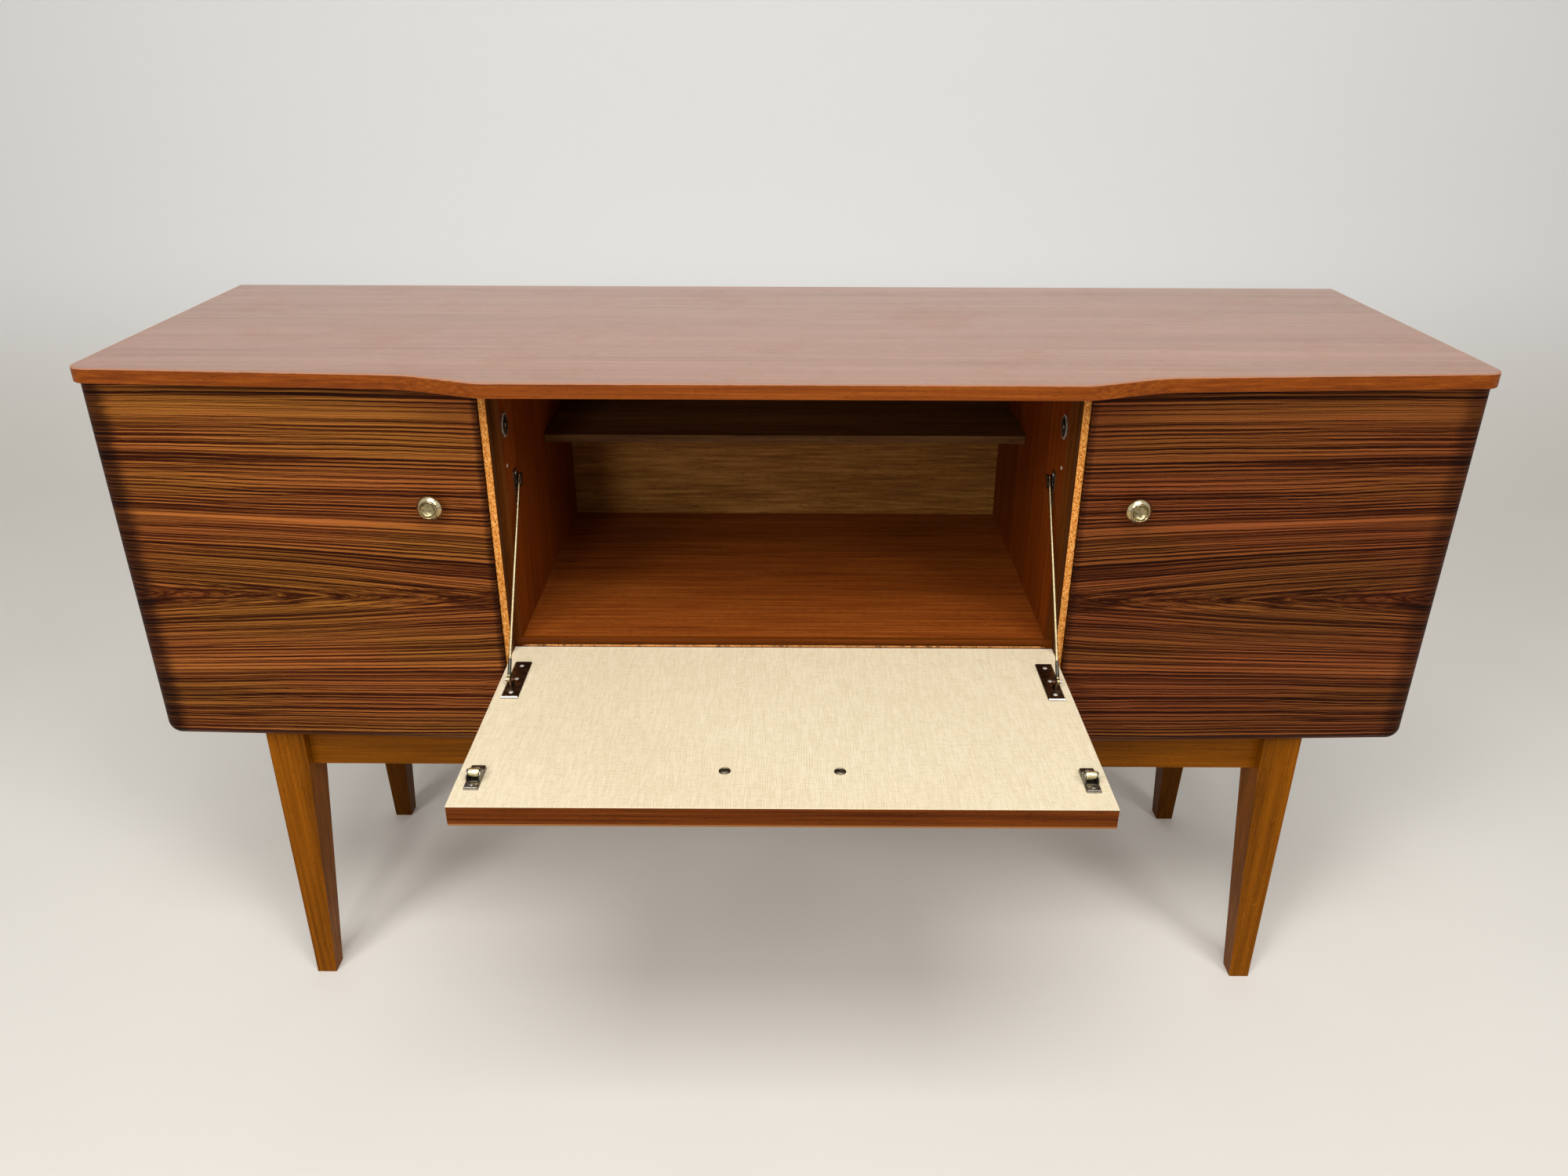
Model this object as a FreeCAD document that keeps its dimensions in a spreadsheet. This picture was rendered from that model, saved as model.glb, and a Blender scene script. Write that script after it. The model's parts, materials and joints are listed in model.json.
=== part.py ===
import FreeCAD, Part
import os
import re

import Sketcher
from FreeCAD import Rotation, Vector

# A long sideboard on a frame of four tapered legs: two canted doors on knobs, a drop-front bay in the
# middle with a piano hinge, sliding stays and roller catches, and a drawer below the bay.
# Millimetres. X runs to the viewer's right, Y to the back, Z up. The feet stand on Z = 0.
# Depths are counted forwards from the back edge of the top.
doc = FreeCAD.newDocument("Sideboard")

SIZES = (
    ("top_width", "1372", "top, over its ends"),
    ("top_thick", "15", "top board"),
    ("top_depth", "448", "top, back edge to the middle of the front"),
    ("wing_step", "28", "how far the wings stand back from the middle"),
    ("wing_fall", "18.5", "how far a wing falls back at its outer end"),
    ("brow_half", "283", "middle of the top to the outer bend"),
    ("hollow_half", "358", "middle of the top to the inner bend"),
    ("brow_round", "40", "outer bend of the front edge"),
    ("hollow_round", "140", "inner bend of the front edge"),
    ("corner_round", "18", "front corners of the top, in plan"),
    ("heel_round", "4", "back corners of the top, in plan"),
    ("lip_thick", "2.5", "solid edge lipping of the top"),
    ("arris", "1.2", "eased edges of the lipping"),
    ("end_overhang", "3", "top beyond the side panels"),
    ("leg_length", "352", "floor to the carcass"),
    ("carcass_height", "403", "carcass, under the top"),
    ("board", "18", "side panels, floor, doors"),
    ("bottom_thick", "16", "bottom board"),
    ("divider_thick", "9.5", "bare board beside the bay"),
    ("bay_side_thick", "10.5", "veneered lining board of the bay"),
    ("bay_half", "280", "half the clear width of the bay"),
    ("bay_side_setback", "3", "lining board behind the divider's edge"),
    ("front_depth", "385", "front plane of the carcass in the middle"),
    ("front_cant", "12", "how far the carcass front falls back at its ends"),
    ("back_setback", "8", "carcass behind the back edge of the top"),
    ("back_rebate", "10", "back panel inside the carcass"),
    ("back_thick", "4", "back panel"),
    ("side_round", "16", "lower outer corners"),
    ("flap_length", "285.5", "flap, hinge edge to front edge"),
    ("flap_half", "287", "half the width of the flap"),
    ("flap_thick", "20", "flap with its lining"),
    ("lining_thick", "1", "laminate on the flap"),
    ("flap_gap", "1.5", "closed flap to the top"),
    ("hinge_set", "3", "hinge axis to the leaf's seat"),
    ("knuckle_radius", "2.7", "piano hinge"),
    ("leaf_thick", "1", "piano hinge"),
    ("leaf_width", "11", "piano hinge"),
    ("leaf_relief", "2.4", "leaf edge below the axis"),
    ("knuckle_length", "34", "piano hinge"),
    ("knuckle_space", "0.4", "between knuckles"),
    ("hinge_pin_radius", "1.1", "piano hinge pin"),
    ("hinge_fit", "0.08", "pin in its knuckles"),
    ("flap_front_space", "1", "closed flap to the front plane"),
    ("floor_rise", "7.5", "bay floor above the hinge axis"),
    ("floor_lip", "5", "lipping on the bay floor"),
    ("shelf_depth", "168", "bay shelf, front to back"),
    ("shelf_thick", "9", "bay shelf"),
    ("shelf_drop", "118", "bay shelf under the top board"),
    ("shelf_space", "1", "shelf to the panel beside it"),
    ("peg_radius", "2.5", "shelf pegs"),
    ("peg_length", "9", "shelf pegs, out of the panel"),
    ("peg_inset", "28", "shelf pegs from the shelf's edges"),
    ("cupboard_shelf_thick", "12", "cupboard shelf"),
    ("cupboard_shelf_setback", "24", "cupboard shelf behind the doors"),
    ("cupboard_shelf_height", "185", "cupboard shelf over the bottom board"),
    ("door_gap", "2.6", "door to the carcass, filled by the hinge leaves"),
    ("door_inner", "295.5", "middle to a door's inner edge"),
    ("door_lift", "1", "door above the carcass underside"),
    ("door_drop", "2", "door below the top"),
    ("door_edge_round", "14", "outer front edge of a door"),
    ("door_inner_round", "2.5", "inner front edge of a door"),
    ("butt_length", "50", "door hinge"),
    ("butt_inset", "45", "door hinge from the door's end"),
    ("butt_width", "14", "door hinge leaf"),
    ("butt_thick", "1.2", "door hinge leaf"),
    ("butt_radius", "2.4", "door hinge knuckle"),
    ("butt_room", "0.4", "wood clear of the knuckle"),
    ("butt_pin_radius", "1.1", "door hinge pin"),
    ("knob_offset", "55.5", "knob from the door's inner edge"),
    ("knob_drop", "120", "knob below the door's top"),
    ("knob_flange_radius", "13", "knob, widest"),
    ("knob_ring_radius", "9.6", "knob, front ring"),
    ("knob_neck_radius", "6.5", "knob, neck"),
    ("knob_dish_radius", "8.6", "knob, front dish"),
    ("knob_dish_depth", "2.4", "knob, front dish"),
    ("knob_neck_length", "5", "knob, neck"),
    ("knob_flange_length", "5", "knob, flange"),
    ("knob_ring_length", "5", "knob, front ring"),
    ("catch_width", "11", "door catch"),
    ("catch_height", "36", "door catch"),
    ("catch_depth", "16", "door catch"),
    ("catch_nose", "0.9", "door catch, how far its nose stands out"),
    ("catch_inset", "20", "door catch below the top board"),
    ("strike_thick", "1", "door catch plate"),
    ("drawer_half", "292.5", "half the drawer front"),
    ("drawer_gap", "0.6", "drawer front to the carcass"),
    ("drawer_clear", "4", "drawer front under the open flap"),
    ("drawer_side_thick", "9", "drawer sides and back"),
    ("drawer_side_height", "58", "drawer sides"),
    ("drawer_depth", "330", "drawer box"),
    ("drawer_space", "6", "drawer box to the dividers"),
    ("drawer_bottom_thick", "4", "drawer bottom"),
    ("drawer_bottom_rise", "7", "drawer bottom above the sides' lower edge"),
    ("runner_height", "9", "drawer runners"),
    ("runner_width", "16", "drawer runners"),
    ("runner_fit", "0.3", "drawer over its runners"),
    ("handle_centres", "103", "bar handle, screw to screw"),
    ("handle_end", "9", "bar handle beyond its posts"),
    ("handle_radius", "4", "bar handle"),
    ("handle_reach", "20", "bar handle out of the wood"),
    ("post_radius", "3.2", "bar handle post"),
    ("foot_radius", "7", "bar handle rose"),
    ("foot_thick", "2", "bar handle rose"),
    ("handle_from_hinge", "234", "flap handle from the hinge axis"),
    ("handle_screw_radius", "4.6", "screw heads on the flap lining"),
    ("screw_head_thick", "1", "screw heads"),
    ("plate_length", "72", "stay plate on the flap"),
    ("plate_width", "17", "stay plate on the flap"),
    ("plate_thick", "2", "stay plate on the flap"),
    ("plate_bevel", "0.9", "stay plate edges"),
    ("plate_start", "38.5", "stay plate from the hinge axis"),
    ("plate_edge", "8", "stay plate in from the flap's edge"),
    ("plate_screw_radius", "2.6", "stay plate screws"),
    ("ear_height", "11", "ear of the stay plate"),
    ("ear_length", "13", "ear of the stay plate"),
    ("ear_thick", "1.5", "ear of the stay plate"),
    ("ear_pin_radius", "1.4", "pin of the ear, through the stay's eye"),
    ("ear_pin_fit", "0.08", "pin of the ear in the stay's eye"),
    ("ear_pin_space", "0.6", "pin of the ear to the bay's side"),
    ("stay_foot_reach", "85", "stay pivot from the hinge axis"),
    ("stay_foot_rise", "7", "stay pivot above the lining"),
    ("stay_head_back", "40", "stay swivel behind the hinge axis"),
    ("stay_head_rise", "175", "stay swivel above the hinge axis"),
    ("stay_radius", "1.5", "stay rod"),
    ("stay_stub", "3", "stay rod beyond its swivel"),
    ("stay_side_space", "0.3", "rod to the cheeks beside it"),
    ("eye_radius", "3.4", "eye of the stay rod"),
    ("eye_shoulder", "0.1", "eye of the stay rod, thicker than the rod on each side"),
    ("cheek_thick", "1.1", "cheeks of the stay swivel"),
    ("yoke_length", "15", "stay swivel, along the rod"),
    ("yoke_front", "4.5", "stay swivel in front of its stud"),
    ("yoke_back", "4.5", "stay swivel behind its stud"),
    ("yoke_web", "2.1", "web behind the rod"),
    ("yoke_round", "3.6", "stay swivel, front corners"),
    ("yoke_heel", "1.6", "stay swivel, back corners"),
    ("swivel_space", "0.2", "swivel to its bracket"),
    ("stud_radius", "2", "stud of the stay bracket"),
    ("stud_fit", "0.08", "swivel on its stud"),
    ("bracket_length", "40", "stay bracket"),
    ("bracket_width", "13", "stay bracket"),
    ("bracket_thick", "1.4", "stay bracket"),
    ("bracket_above", "10", "stay bracket above its stud"),
    ("roller_from_hinge", "248", "roller catch from the hinge axis"),
    ("roller_edge", "9.5", "roller catch in from the flap's edge"),
    ("cradle_length", "34", "roller catch base"),
    ("cradle_width", "13", "roller catch base"),
    ("cradle_base", "1.2", "roller catch base"),
    ("cradle_height", "10", "roller catch cheeks"),
    ("cradle_cheek", "1.3", "roller catch cheeks"),
    ("cheek_length", "14", "roller catch cheeks"),
    ("roller_radius", "4", "catch roller"),
    ("roller_bore", "1.2", "catch roller on its axle"),
    ("roller_fit", "0.08", "catch roller on its axle"),
    ("roller_space", "0.3", "catch roller to its cheeks"),
    ("keep_height", "24", "octagonal keep plate"),
    ("keep_width", "22", "octagonal keep plate"),
    ("keep_thick", "2", "octagonal keep plate"),
    ("keep_corner", "7", "octagonal keep plate, cut corners"),
    ("keep_setback", "1", "keep plate behind the lining board's edge"),
    ("keep_drop", "7", "keep plate's middle below the closed roller"),
    ("leg_inset", "107", "legs' outer faces in from the ends of the top"),
    ("leg_width", "41", "leg top, across"),
    ("leg_deep", "50", "leg top, front to back"),
    ("foot_width", "23", "leg foot, across"),
    ("foot_deep", "22", "leg foot, front to back"),
    ("leg_setback", "3", "front legs behind the front plane of the carcass"),
    ("leg_back", "38", "back legs' back face"),
    ("rail_height", "50", "rails under the carcass"),
    ("rail_thick", "18", "rails under the carcass"),
    ("rail_setback", "12", "rails behind the legs' faces"),
    ("block", "32", "glue blocks in the frame's corners"),
)
SIZE_NAMES = {name for name, value, note in SIZES}

PLACES = (
    ("half_width", "top_width / 2"),
    ("side_half", "half_width - end_overhang"),
    ("leg_half", "half_width - leg_inset"),
    ("side_inner", "side_half - board"),
    ("divider_inner", "bay_half + bay_side_thick"),
    ("divider_outer", "divider_inner + divider_thick"),
    ("top_under", "leg_length + carcass_height"),
    ("middle_height", "top_under + top_thick / 2"),
    ("wing_depth", "top_depth - wing_step"),
    ("tip_depth", "wing_depth - wing_fall"),
    ("end_depth", "front_depth - front_cant"),
    ("panel_front", "back_setback + back_rebate + back_thick"),
    ("axis_depth", "front_depth + flap_front_space"),
    ("reach", "axis_depth + hinge_set + flap_length"),
    ("back_y", "reach / 2"),
    ("axis_y", "back_y - axis_depth"),
    ("axis_z", "top_under - flap_gap - flap_length - hinge_set"),
    ("floor_top", "axis_z + floor_rise"),
    ("floor_front", "axis_depth - hinge_set"),
    ("bottom_top", "leg_length + bottom_thick"),
    ("door_low", "leg_length + door_lift"),
    ("door_tall", "carcass_height - door_lift - door_drop"),
    ("door_back_in", "front_depth + door_gap"),
    ("door_back_out", "end_depth + door_gap"),
    ("door_front_in", "door_back_in + board"),
    ("door_front_out", "door_back_out + board"),
    ("cant_angle", "atan2(front_cant; side_half - door_inner)"),
    ("cant_slope", "front_cant / (side_half - door_inner)"),
    ("strike_inner", "divider_outer"),
    ("strike_outer", "divider_outer + catch_width"),
    ("strike_seat_in", "door_back_in - (strike_inner - door_inner) * cant_slope"),
    ("strike_seat_out", "door_back_in - (strike_outer - door_inner) * cant_slope"),
    ("strike_back_in", "strike_seat_in - strike_thick"),
    ("strike_back_out", "strike_seat_out - strike_thick"),
    ("catch_low", "top_under - catch_inset - catch_height"),
    ("knob_half", "door_inner + knob_offset"),
    ("knob_depth", "door_front_in - knob_offset * cant_slope"),
    ("knob_z", "door_low + door_tall - knob_drop"),
    ("knob_flange_end", "knob_neck_length + knob_flange_length"),
    ("knob_length", "knob_flange_end + knob_ring_length"),
    ("knob_dish_floor", "knob_length - knob_dish_depth"),
    ("butt_axis_y", "back_y - end_depth - door_gap / 2"),
    ("butt_low", "door_low + butt_inset"),
    ("butt_high", "door_low + door_tall - butt_inset - butt_length"),
    ("knuckle_third", "butt_length / 3"),
    ("drawer_low", "leg_length + door_lift"),
    ("drawer_top", "axis_z - flap_thick - drawer_clear"),
    ("drawer_back_depth", "front_depth + drawer_gap"),
    ("drawer_front_depth", "drawer_back_depth + board"),
    ("drawer_box_half", "divider_inner - drawer_space"),
    ("drawer_floor", "bottom_top + runner_height + runner_fit"),
    ("drawer_mid", "(drawer_low + drawer_top) / 2"),
    ("lining_z", "axis_z - lining_thick"),
    ("flap_rear_y", "axis_y - hinge_set"),
    ("handle_y", "axis_y - handle_from_hinge"),
    ("handle_half", "handle_centres / 2"),
    ("plate_outer", "flap_half - plate_edge"),
    ("plate_inner", "plate_outer - plate_width"),
    ("plate_far_y", "axis_y - plate_start - plate_length"),
    ("foot_y", "axis_y - stay_foot_reach"),
    ("foot_z", "axis_z + stay_foot_rise"),
    ("head_y", "axis_y + stay_head_back"),
    ("head_z", "axis_z + stay_head_rise"),
    ("yoke_outer", "bay_half - bracket_thick - swivel_space"),
    ("cheek_outer", "yoke_outer - cheek_thick"),
    ("stay_half", "cheek_outer - stay_side_space - stay_radius"),
    ("cheek_inner", "stay_half - stay_radius - stay_side_space"),
    ("yoke_inner", "cheek_inner - cheek_thick"),
    ("web_near", "yoke_back - yoke_web"),
    ("stay_run", "stay_head_back + stay_foot_reach"),
    ("stay_climb", "stay_head_rise - stay_foot_rise"),
    ("stay_lean", "atan2(stay_run; stay_climb)"),
    ("stay_span", "sqrt(stay_run * stay_run + stay_climb * stay_climb)"),
    ("cradle_outer", "flap_half - roller_edge"),
    ("cradle_mid", "cradle_outer - cradle_width / 2"),
    ("roller_half", "cradle_width / 2 - cradle_cheek - roller_space"),
    ("roller_y", "axis_y - roller_from_hinge"),
    ("roller_z", "axis_z + cradle_height - roller_radius + cradle_base"),
    ("keep_z", "axis_z + roller_from_hinge - keep_drop"),
    ("keep_front_y", "back_y - front_depth + bay_side_setback + keep_setback"),
    ("keep_half_height", "keep_height / 2"),
    ("keep_half_width", "keep_width / 2"),
    ("keep_flat_height", "keep_half_height - keep_corner"),
    ("keep_flat_width", "keep_half_width - keep_corner"),
    ("leg_front", "front_depth - leg_setback"),
    ("rail_low", "leg_length - rail_height"),
    ("leg_inner", "leg_half - leg_width"),
    ("rail_front", "leg_front - rail_setback"),
    ("rail_back", "leg_back + rail_setback"),
    ("rail_outer", "leg_half - rail_setback"),
    ("shelf_low", "top_under - shelf_drop - shelf_thick"),
    ("cupboard_shelf_low", "bottom_top + cupboard_shelf_height"),
    ("cupboard_shelf_front", "end_depth - cupboard_shelf_setback"),
)
PLACE_NAMES = {name for name, formula in PLACES}


def bound(formula, inside=False):
    """The formula with its sheet named before each size."""
    def with_sheet(match):
        word = match.group(0)
        if word in SIZE_NAMES:
            return "Sizes." + word
        if word in PLACE_NAMES and not inside:
            return "Places." + word
        return word
    return re.sub(r"[a-z][a-z0-9_]*", with_sheet, formula)


def fill(title, rows):
    """A sheet of named cells: each row is the alias, the cell's content and a note."""
    sheet = doc.addObject("Spreadsheet::Sheet", title)
    for row, (alias, content, note) in enumerate(rows, start=1):
        sheet.set(f"A{row}", note)
        sheet.set(f"B{row}", content)
        sheet.setAlias(f"B{row}", alias)
    doc.recompute()
    return sheet


sizes = fill("Sizes", SIZES)
places = fill("Places", [(name, "=" + bound(formula, True), formula) for name, formula in PLACES])


def number(word):
    """The value of a named size or place, with a minus sign before it or not."""
    name = word.lstrip("-")
    if name == "0":
        return 0.0
    cell = (sizes if name in SIZE_NAMES else places).get(name)
    value = getattr(cell, "Value", cell)
    return -value if word.startswith("-") else value


def place(thing, **formulas):
    """Binds an object's position to named sizes, each of x, y and z on its own."""
    for axis, formula in formulas.items():
        thing.setExpression(f"Placement.Base.{axis}", bound(formula))


def box(label, x, y, z, length, width, height):
    """A plain board between its lowest corner and its three sizes."""
    board = doc.addObject("Part::Box", label)
    board.Label = label
    board.setExpression("Length", bound(length))
    board.setExpression("Width", bound(width))
    board.setExpression("Height", bound(height))
    place(board, x=x, y=y, z=z)
    return board


TURNS = {
    "x": Rotation(Vector(0, 1, 0), 90),
    "y": Rotation(Vector(1, 0, 0), -90),
    "z": Rotation(),
}


def rod(label, axis, x, y, z, radius, length):
    """A round bar from a point along an axis."""
    bar = doc.addObject("Part::Cylinder", label)
    bar.Label = label
    bar.setExpression("Radius", bound(radius))
    bar.setExpression("Height", bound(length))
    bar.Placement.Rotation = TURNS[axis]
    place(bar, x=x, y=y, z=z)
    return bar


def turn(thing, axis, formula):
    """Turns an object about an axis by an angle worked out from named sizes."""
    thing.Placement.Rotation = Rotation(axis, 0)
    thing.setExpression("Placement.Rotation.Angle", bound(formula))
    return thing


def joined(label, *shapes):
    """Shapes fused to one solid."""
    whole = doc.addObject("Part::MultiFuse", label)
    whole.Label = label
    whole.Shapes = list(shapes)
    return whole


def group(label, *shapes):
    """Separate solids kept together under one name."""
    together = doc.addObject("Part::Compound", label)
    together.Label = label
    together.Links = list(shapes)
    return together


def cut(label, base, *tools):
    """A shape with others taken out of it."""
    rest = doc.addObject("Part::Cut", label)
    rest.Label = label
    rest.Base = base
    rest.Tool = tools[0] if len(tools) == 1 else joined(label + "_tools", *tools)
    return rest


def mirrored(label, source):
    """The same piece on the other side."""
    twin = doc.addObject("Part::Mirroring", label)
    twin.Label = label
    twin.Source = source
    twin.Normal = Vector(1, 0, 0)
    return twin


def outline(body, role, points):
    """A closed outline of straight lines, each corner held by its two distances from the origin."""
    sketch = body.newObject("Sketcher::SketchObject", "Outline")
    plane = next(feature for feature in body.Origin.OriginFeatures if feature.Role == role)
    sketch.AttachmentSupport = (plane, [""])
    sketch.MapMode = "FlatFace"
    corners = [Vector(number(across), number(along), 0) for across, along in points]
    for index, corner in enumerate(corners):
        sketch.addGeometry(Part.LineSegment(corner, corners[(index + 1) % len(corners)]))
    for index in range(len(corners)):
        following = (index + 1) % len(corners)
        sketch.addConstraint(Sketcher.Constraint("Coincident", index, 2, following, 1))
    for index, (across, along) in enumerate(points):
        for kind, word in (("DistanceX", across), ("DistanceY", along)):
            held = sketch.addConstraint(Sketcher.Constraint(kind, -1, 1, index, 1, number(word)))
            if word != "0":
                sketch.setExpression(f"Constraints[{held}]", bound(word))
    return sketch


def padded(label, role, points, length, middle=False):
    """A body of one outline, made thick."""
    body = doc.addObject("PartDesign::Body", label)
    body.Label = label
    sketch = outline(body, role, points)
    pad = body.newObject("PartDesign::Pad", "Pad")
    pad.Profile = sketch
    pad.setExpression("Length", bound(length))
    pad.Midplane = middle
    doc.recompute()
    return body


def turned(label, points):
    """A body of one outline on the XZ plane, spun about the X axis."""
    body = doc.addObject("PartDesign::Body", label)
    body.Label = label
    sketch = outline(body, "XZ_Plane", points)
    spin = body.newObject("PartDesign::Revolution", "Revolution")
    spin.Profile = sketch
    spin.ReferenceAxis = (sketch, ["H_Axis"])
    spin.Angle = 360
    doc.recompute()
    return body


def edge_names(shape, chosen):
    """The names of the edges that a test chooses."""
    return [f"Edge{index}" for index, edge in enumerate(shape.Edges, start=1) if chosen(edge)]


def upright(edge):
    """True for a vertical straight edge."""
    ends = [vertex.Point for vertex in edge.Vertexes]
    if len(ends) != 2:
        return False
    run = ends[1] - ends[0]
    return abs(run.x) + abs(run.y) < run.Length * SLIGHT


SLIGHT = 0.001
LEFTWARDS = Vector(-1, 0, 0)
DOWNWARDS = Vector(0, 0, -1)


def near(first, second):
    """True for two lengths that are the same but for rounding."""
    return abs(first - second) < SLIGHT * number("top_width")


def eased(body, radius, chosen):
    """Rounds the chosen edges of a body."""
    base = body.Tip
    fillet = body.newObject("PartDesign::Fillet", "Easing")
    fillet.Base = (base, edge_names(base.Shape, chosen))
    fillet.setExpression("Radius", bound(radius))
    doc.recompute()


def top_and_lipping():
    """The top board and the solid lipping round it, both from one plan with a bowed-out middle."""
    plan = (
        ("half_width", "0", "heel_round"),
        ("half_width", "tip_depth", "corner_round"),
        ("hollow_half", "wing_depth", "hollow_round"),
        ("brow_half", "top_depth", "brow_round"),
    )
    right = [(across, "-" + depth if depth != "0" else depth) for across, depth, bend in plan]
    left = [("-" + across, along) for across, along in reversed(right)]
    body = padded("top_blank", "XY_Plane", right + left, "top_thick")
    for across, depth, bend in plan:
        eased(body, bend, lambda edge: upright(edge) and near(abs(edge.Vertexes[0].X), number(across))
              and near(edge.Vertexes[0].Y, -number(depth)))
    ends = (0, number("top_thick"))
    eased(body, "arris", lambda edge: any(all(near(v.Z, end) for v in edge.Vertexes) for end in ends))
    place(body, y="back_y", z="top_under")
    doc.recompute()
    underside = Part.Face(body.Shape.slice(Vector(0, 0, 1), number("middle_height"))[0])
    core = underside.makeOffset2D(-number("lip_thick")).extrude(Vector(0, 0, number("top_thick")))
    board = doc.addObject("Part::Feature", "top_board")
    board.Label = "top_board"
    board.Shape = core.translated(Vector(0, 0, -number("top_thick") / 2))
    yield board
    yield cut("top_lipping", body, board)


def carcass():
    """Side panels, bottom, dividers, bay floor, shelves and back."""
    side_box = box("side_blank", "-side_half", "back_y - end_depth", "leg_length",
                   "board", "end_depth - back_setback", "carcass_height")
    doc.recompute()
    side = doc.addObject("Part::Fillet", "left_side_panel")
    side.Base = side_box
    lowest = number("leg_length")
    keel = [index for index, edge in enumerate(side_box.Shape.Edges, start=1)
            if all(near(v.X, -number("side_half")) and near(v.Z, lowest) for v in edge.Vertexes)]
    side.Edges = [(index, number("side_round"), number("side_round")) for index in keel]
    side.Label = "side_rounded"
    notches = [rod(f"side_notch_{end}", "z", "-side_half", "butt_axis_y", f"butt_{end} - butt_room",
                   "butt_radius + butt_room", "butt_length + 2 * butt_room") for end in ("low", "high")]
    left_side = cut("left_side_panel", side, *notches)
    yield left_side
    yield mirrored("right_side_panel", left_side)
    bottom = padded("bottom_board", "XY_Plane", (
        ("-side_inner", "-back_setback"), ("-side_inner", "-end_depth"),
        ("-divider_outer", "-front_depth"), ("divider_outer", "-front_depth"),
        ("side_inner", "-end_depth"), ("side_inner", "-back_setback")), "bottom_thick")
    place(bottom, y="back_y", z="leg_length")
    yield bottom
    divider = box("left_divider", "-divider_outer", "back_y - front_depth", "bottom_top",
                  "divider_thick", "front_depth - panel_front", "top_under - bottom_top")
    yield divider
    yield mirrored("right_divider", divider)
    bay_side = box("left_bay_side", "-divider_inner", "back_y - front_depth + bay_side_setback",
                   "floor_top", "bay_side_thick", "front_depth - bay_side_setback - panel_front",
                   "top_under - floor_top")
    yield bay_side
    yield mirrored("right_bay_side", bay_side)
    yield box("bay_floor", "-divider_inner", "back_y - floor_front + floor_lip", "floor_top - board",
              "2 * divider_inner", "floor_front - floor_lip - panel_front", "board")
    yield box("bay_floor_lipping", "-divider_inner", "back_y - floor_front", "floor_top - board",
              "2 * divider_inner", "floor_lip", "board")
    yield box("back_panel", "-side_inner", "back_y - panel_front", "bottom_top",
              "2 * side_inner", "back_thick", "top_under - bottom_top")
    yield box("bay_shelf", "-bay_half + shelf_space", "back_y - panel_front - shelf_depth", "shelf_low",
              "2 * (bay_half - shelf_space)", "shelf_depth", "shelf_thick")
    cupboard_shelf = box("cupboard_shelf", "-side_inner + shelf_space",
                         "back_y - cupboard_shelf_front", "cupboard_shelf_low",
                         "side_inner - divider_outer - 2 * shelf_space",
                         "cupboard_shelf_front - panel_front", "cupboard_shelf_thick")
    yield group("cupboard_shelves", cupboard_shelf, mirrored("cupboard_shelf_right", cupboard_shelf))
    yield shelf_pegs()


def shelf_pegs():
    """Four pegs under each of the three shelves."""
    rows = (
        ("bay", "-bay_half", "", "shelf_low", "panel_front + shelf_depth"),
        ("wall", "-side_inner", "", "cupboard_shelf_low", "cupboard_shelf_front"),
        ("divider", "-divider_outer", " - peg_length", "cupboard_shelf_low", "cupboard_shelf_front"),
    )
    pegs = []
    for row, wall, shift, height, front in rows:
        for end, depth in (("back", "panel_front + peg_inset"), ("front", front + " - peg_inset")):
            peg = rod(f"peg_{row}_{end}", "x", wall + shift, f"back_y - ({depth})",
                      height + " - peg_radius", "peg_radius", "peg_length")
            pegs += [peg, mirrored(f"peg_{row}_{end}_right", peg)]
    return group("shelf_pegs", *pegs)


def leg(label, outer_depth, forward):
    """A left leg: a straight head between the rails, then a taper on its inner faces down to the foot."""
    taper = doc.addObject("Part::Wedge", label + "_taper")
    ends = {
        "Xmin": "0", "Xmax": "leg_width", "X2min": "0", "X2max": "foot_width",
        "Ymin": "0", "Ymax": "leg_length - rail_height",
        "Zmin": "0" if forward else "-leg_deep", "Zmax": "leg_deep" if forward else "0",
        "Z2min": "0" if forward else "-foot_deep", "Z2max": "foot_deep" if forward else "0",
    }
    for name, formula in ends.items():
        taper.setExpression(name, bound(formula))
    taper.Placement.Rotation = TURNS["y"]
    place(taper, x="-leg_half", y=f"back_y - {outer_depth}", z="rail_low")
    head = box(label + "_head", "-leg_half", f"back_y - ({outer_depth})" if forward
               else f"back_y - ({outer_depth}) - leg_deep", "rail_low",
               "leg_width", "leg_deep", "rail_height")
    return joined(label, head, taper)


def frame():
    """Four tapered legs, four rails and the glue blocks behind them."""
    for label, outer_depth, forward in (("front", "leg_front", True), ("rear", "leg_back", False)):
        left = leg(f"{label}_left_leg", outer_depth, forward)
        yield left
        yield mirrored(f"{label}_right_leg", left)
    yield box("front_rail", "-leg_inner", "back_y - rail_front", "rail_low",
              "2 * leg_inner", "rail_thick", "rail_height")
    yield box("rear_rail", "-leg_inner", "back_y - rail_back - rail_thick", "rail_low",
              "2 * leg_inner", "rail_thick", "rail_height")
    end_rail = box("end_rail", "-rail_outer", "back_y - leg_front + leg_deep", "rail_low",
                   "rail_thick", "leg_front - leg_back - 2 * leg_deep", "rail_height")
    yield group("end_rails", end_rail, mirrored("end_rail_right", end_rail))
    blocks = []
    for end, depth in (("front", "leg_front - leg_deep"), ("rear", "leg_back + leg_deep + block")):
        block = box(f"block_{end}", "-rail_outer + rail_thick", f"back_y - ({depth})",
                    "leg_length - block", "block", "block", "block")
        blocks += [block, mirrored(f"block_{end}_right", block)]
    yield group("glue_blocks", *blocks)


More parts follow.
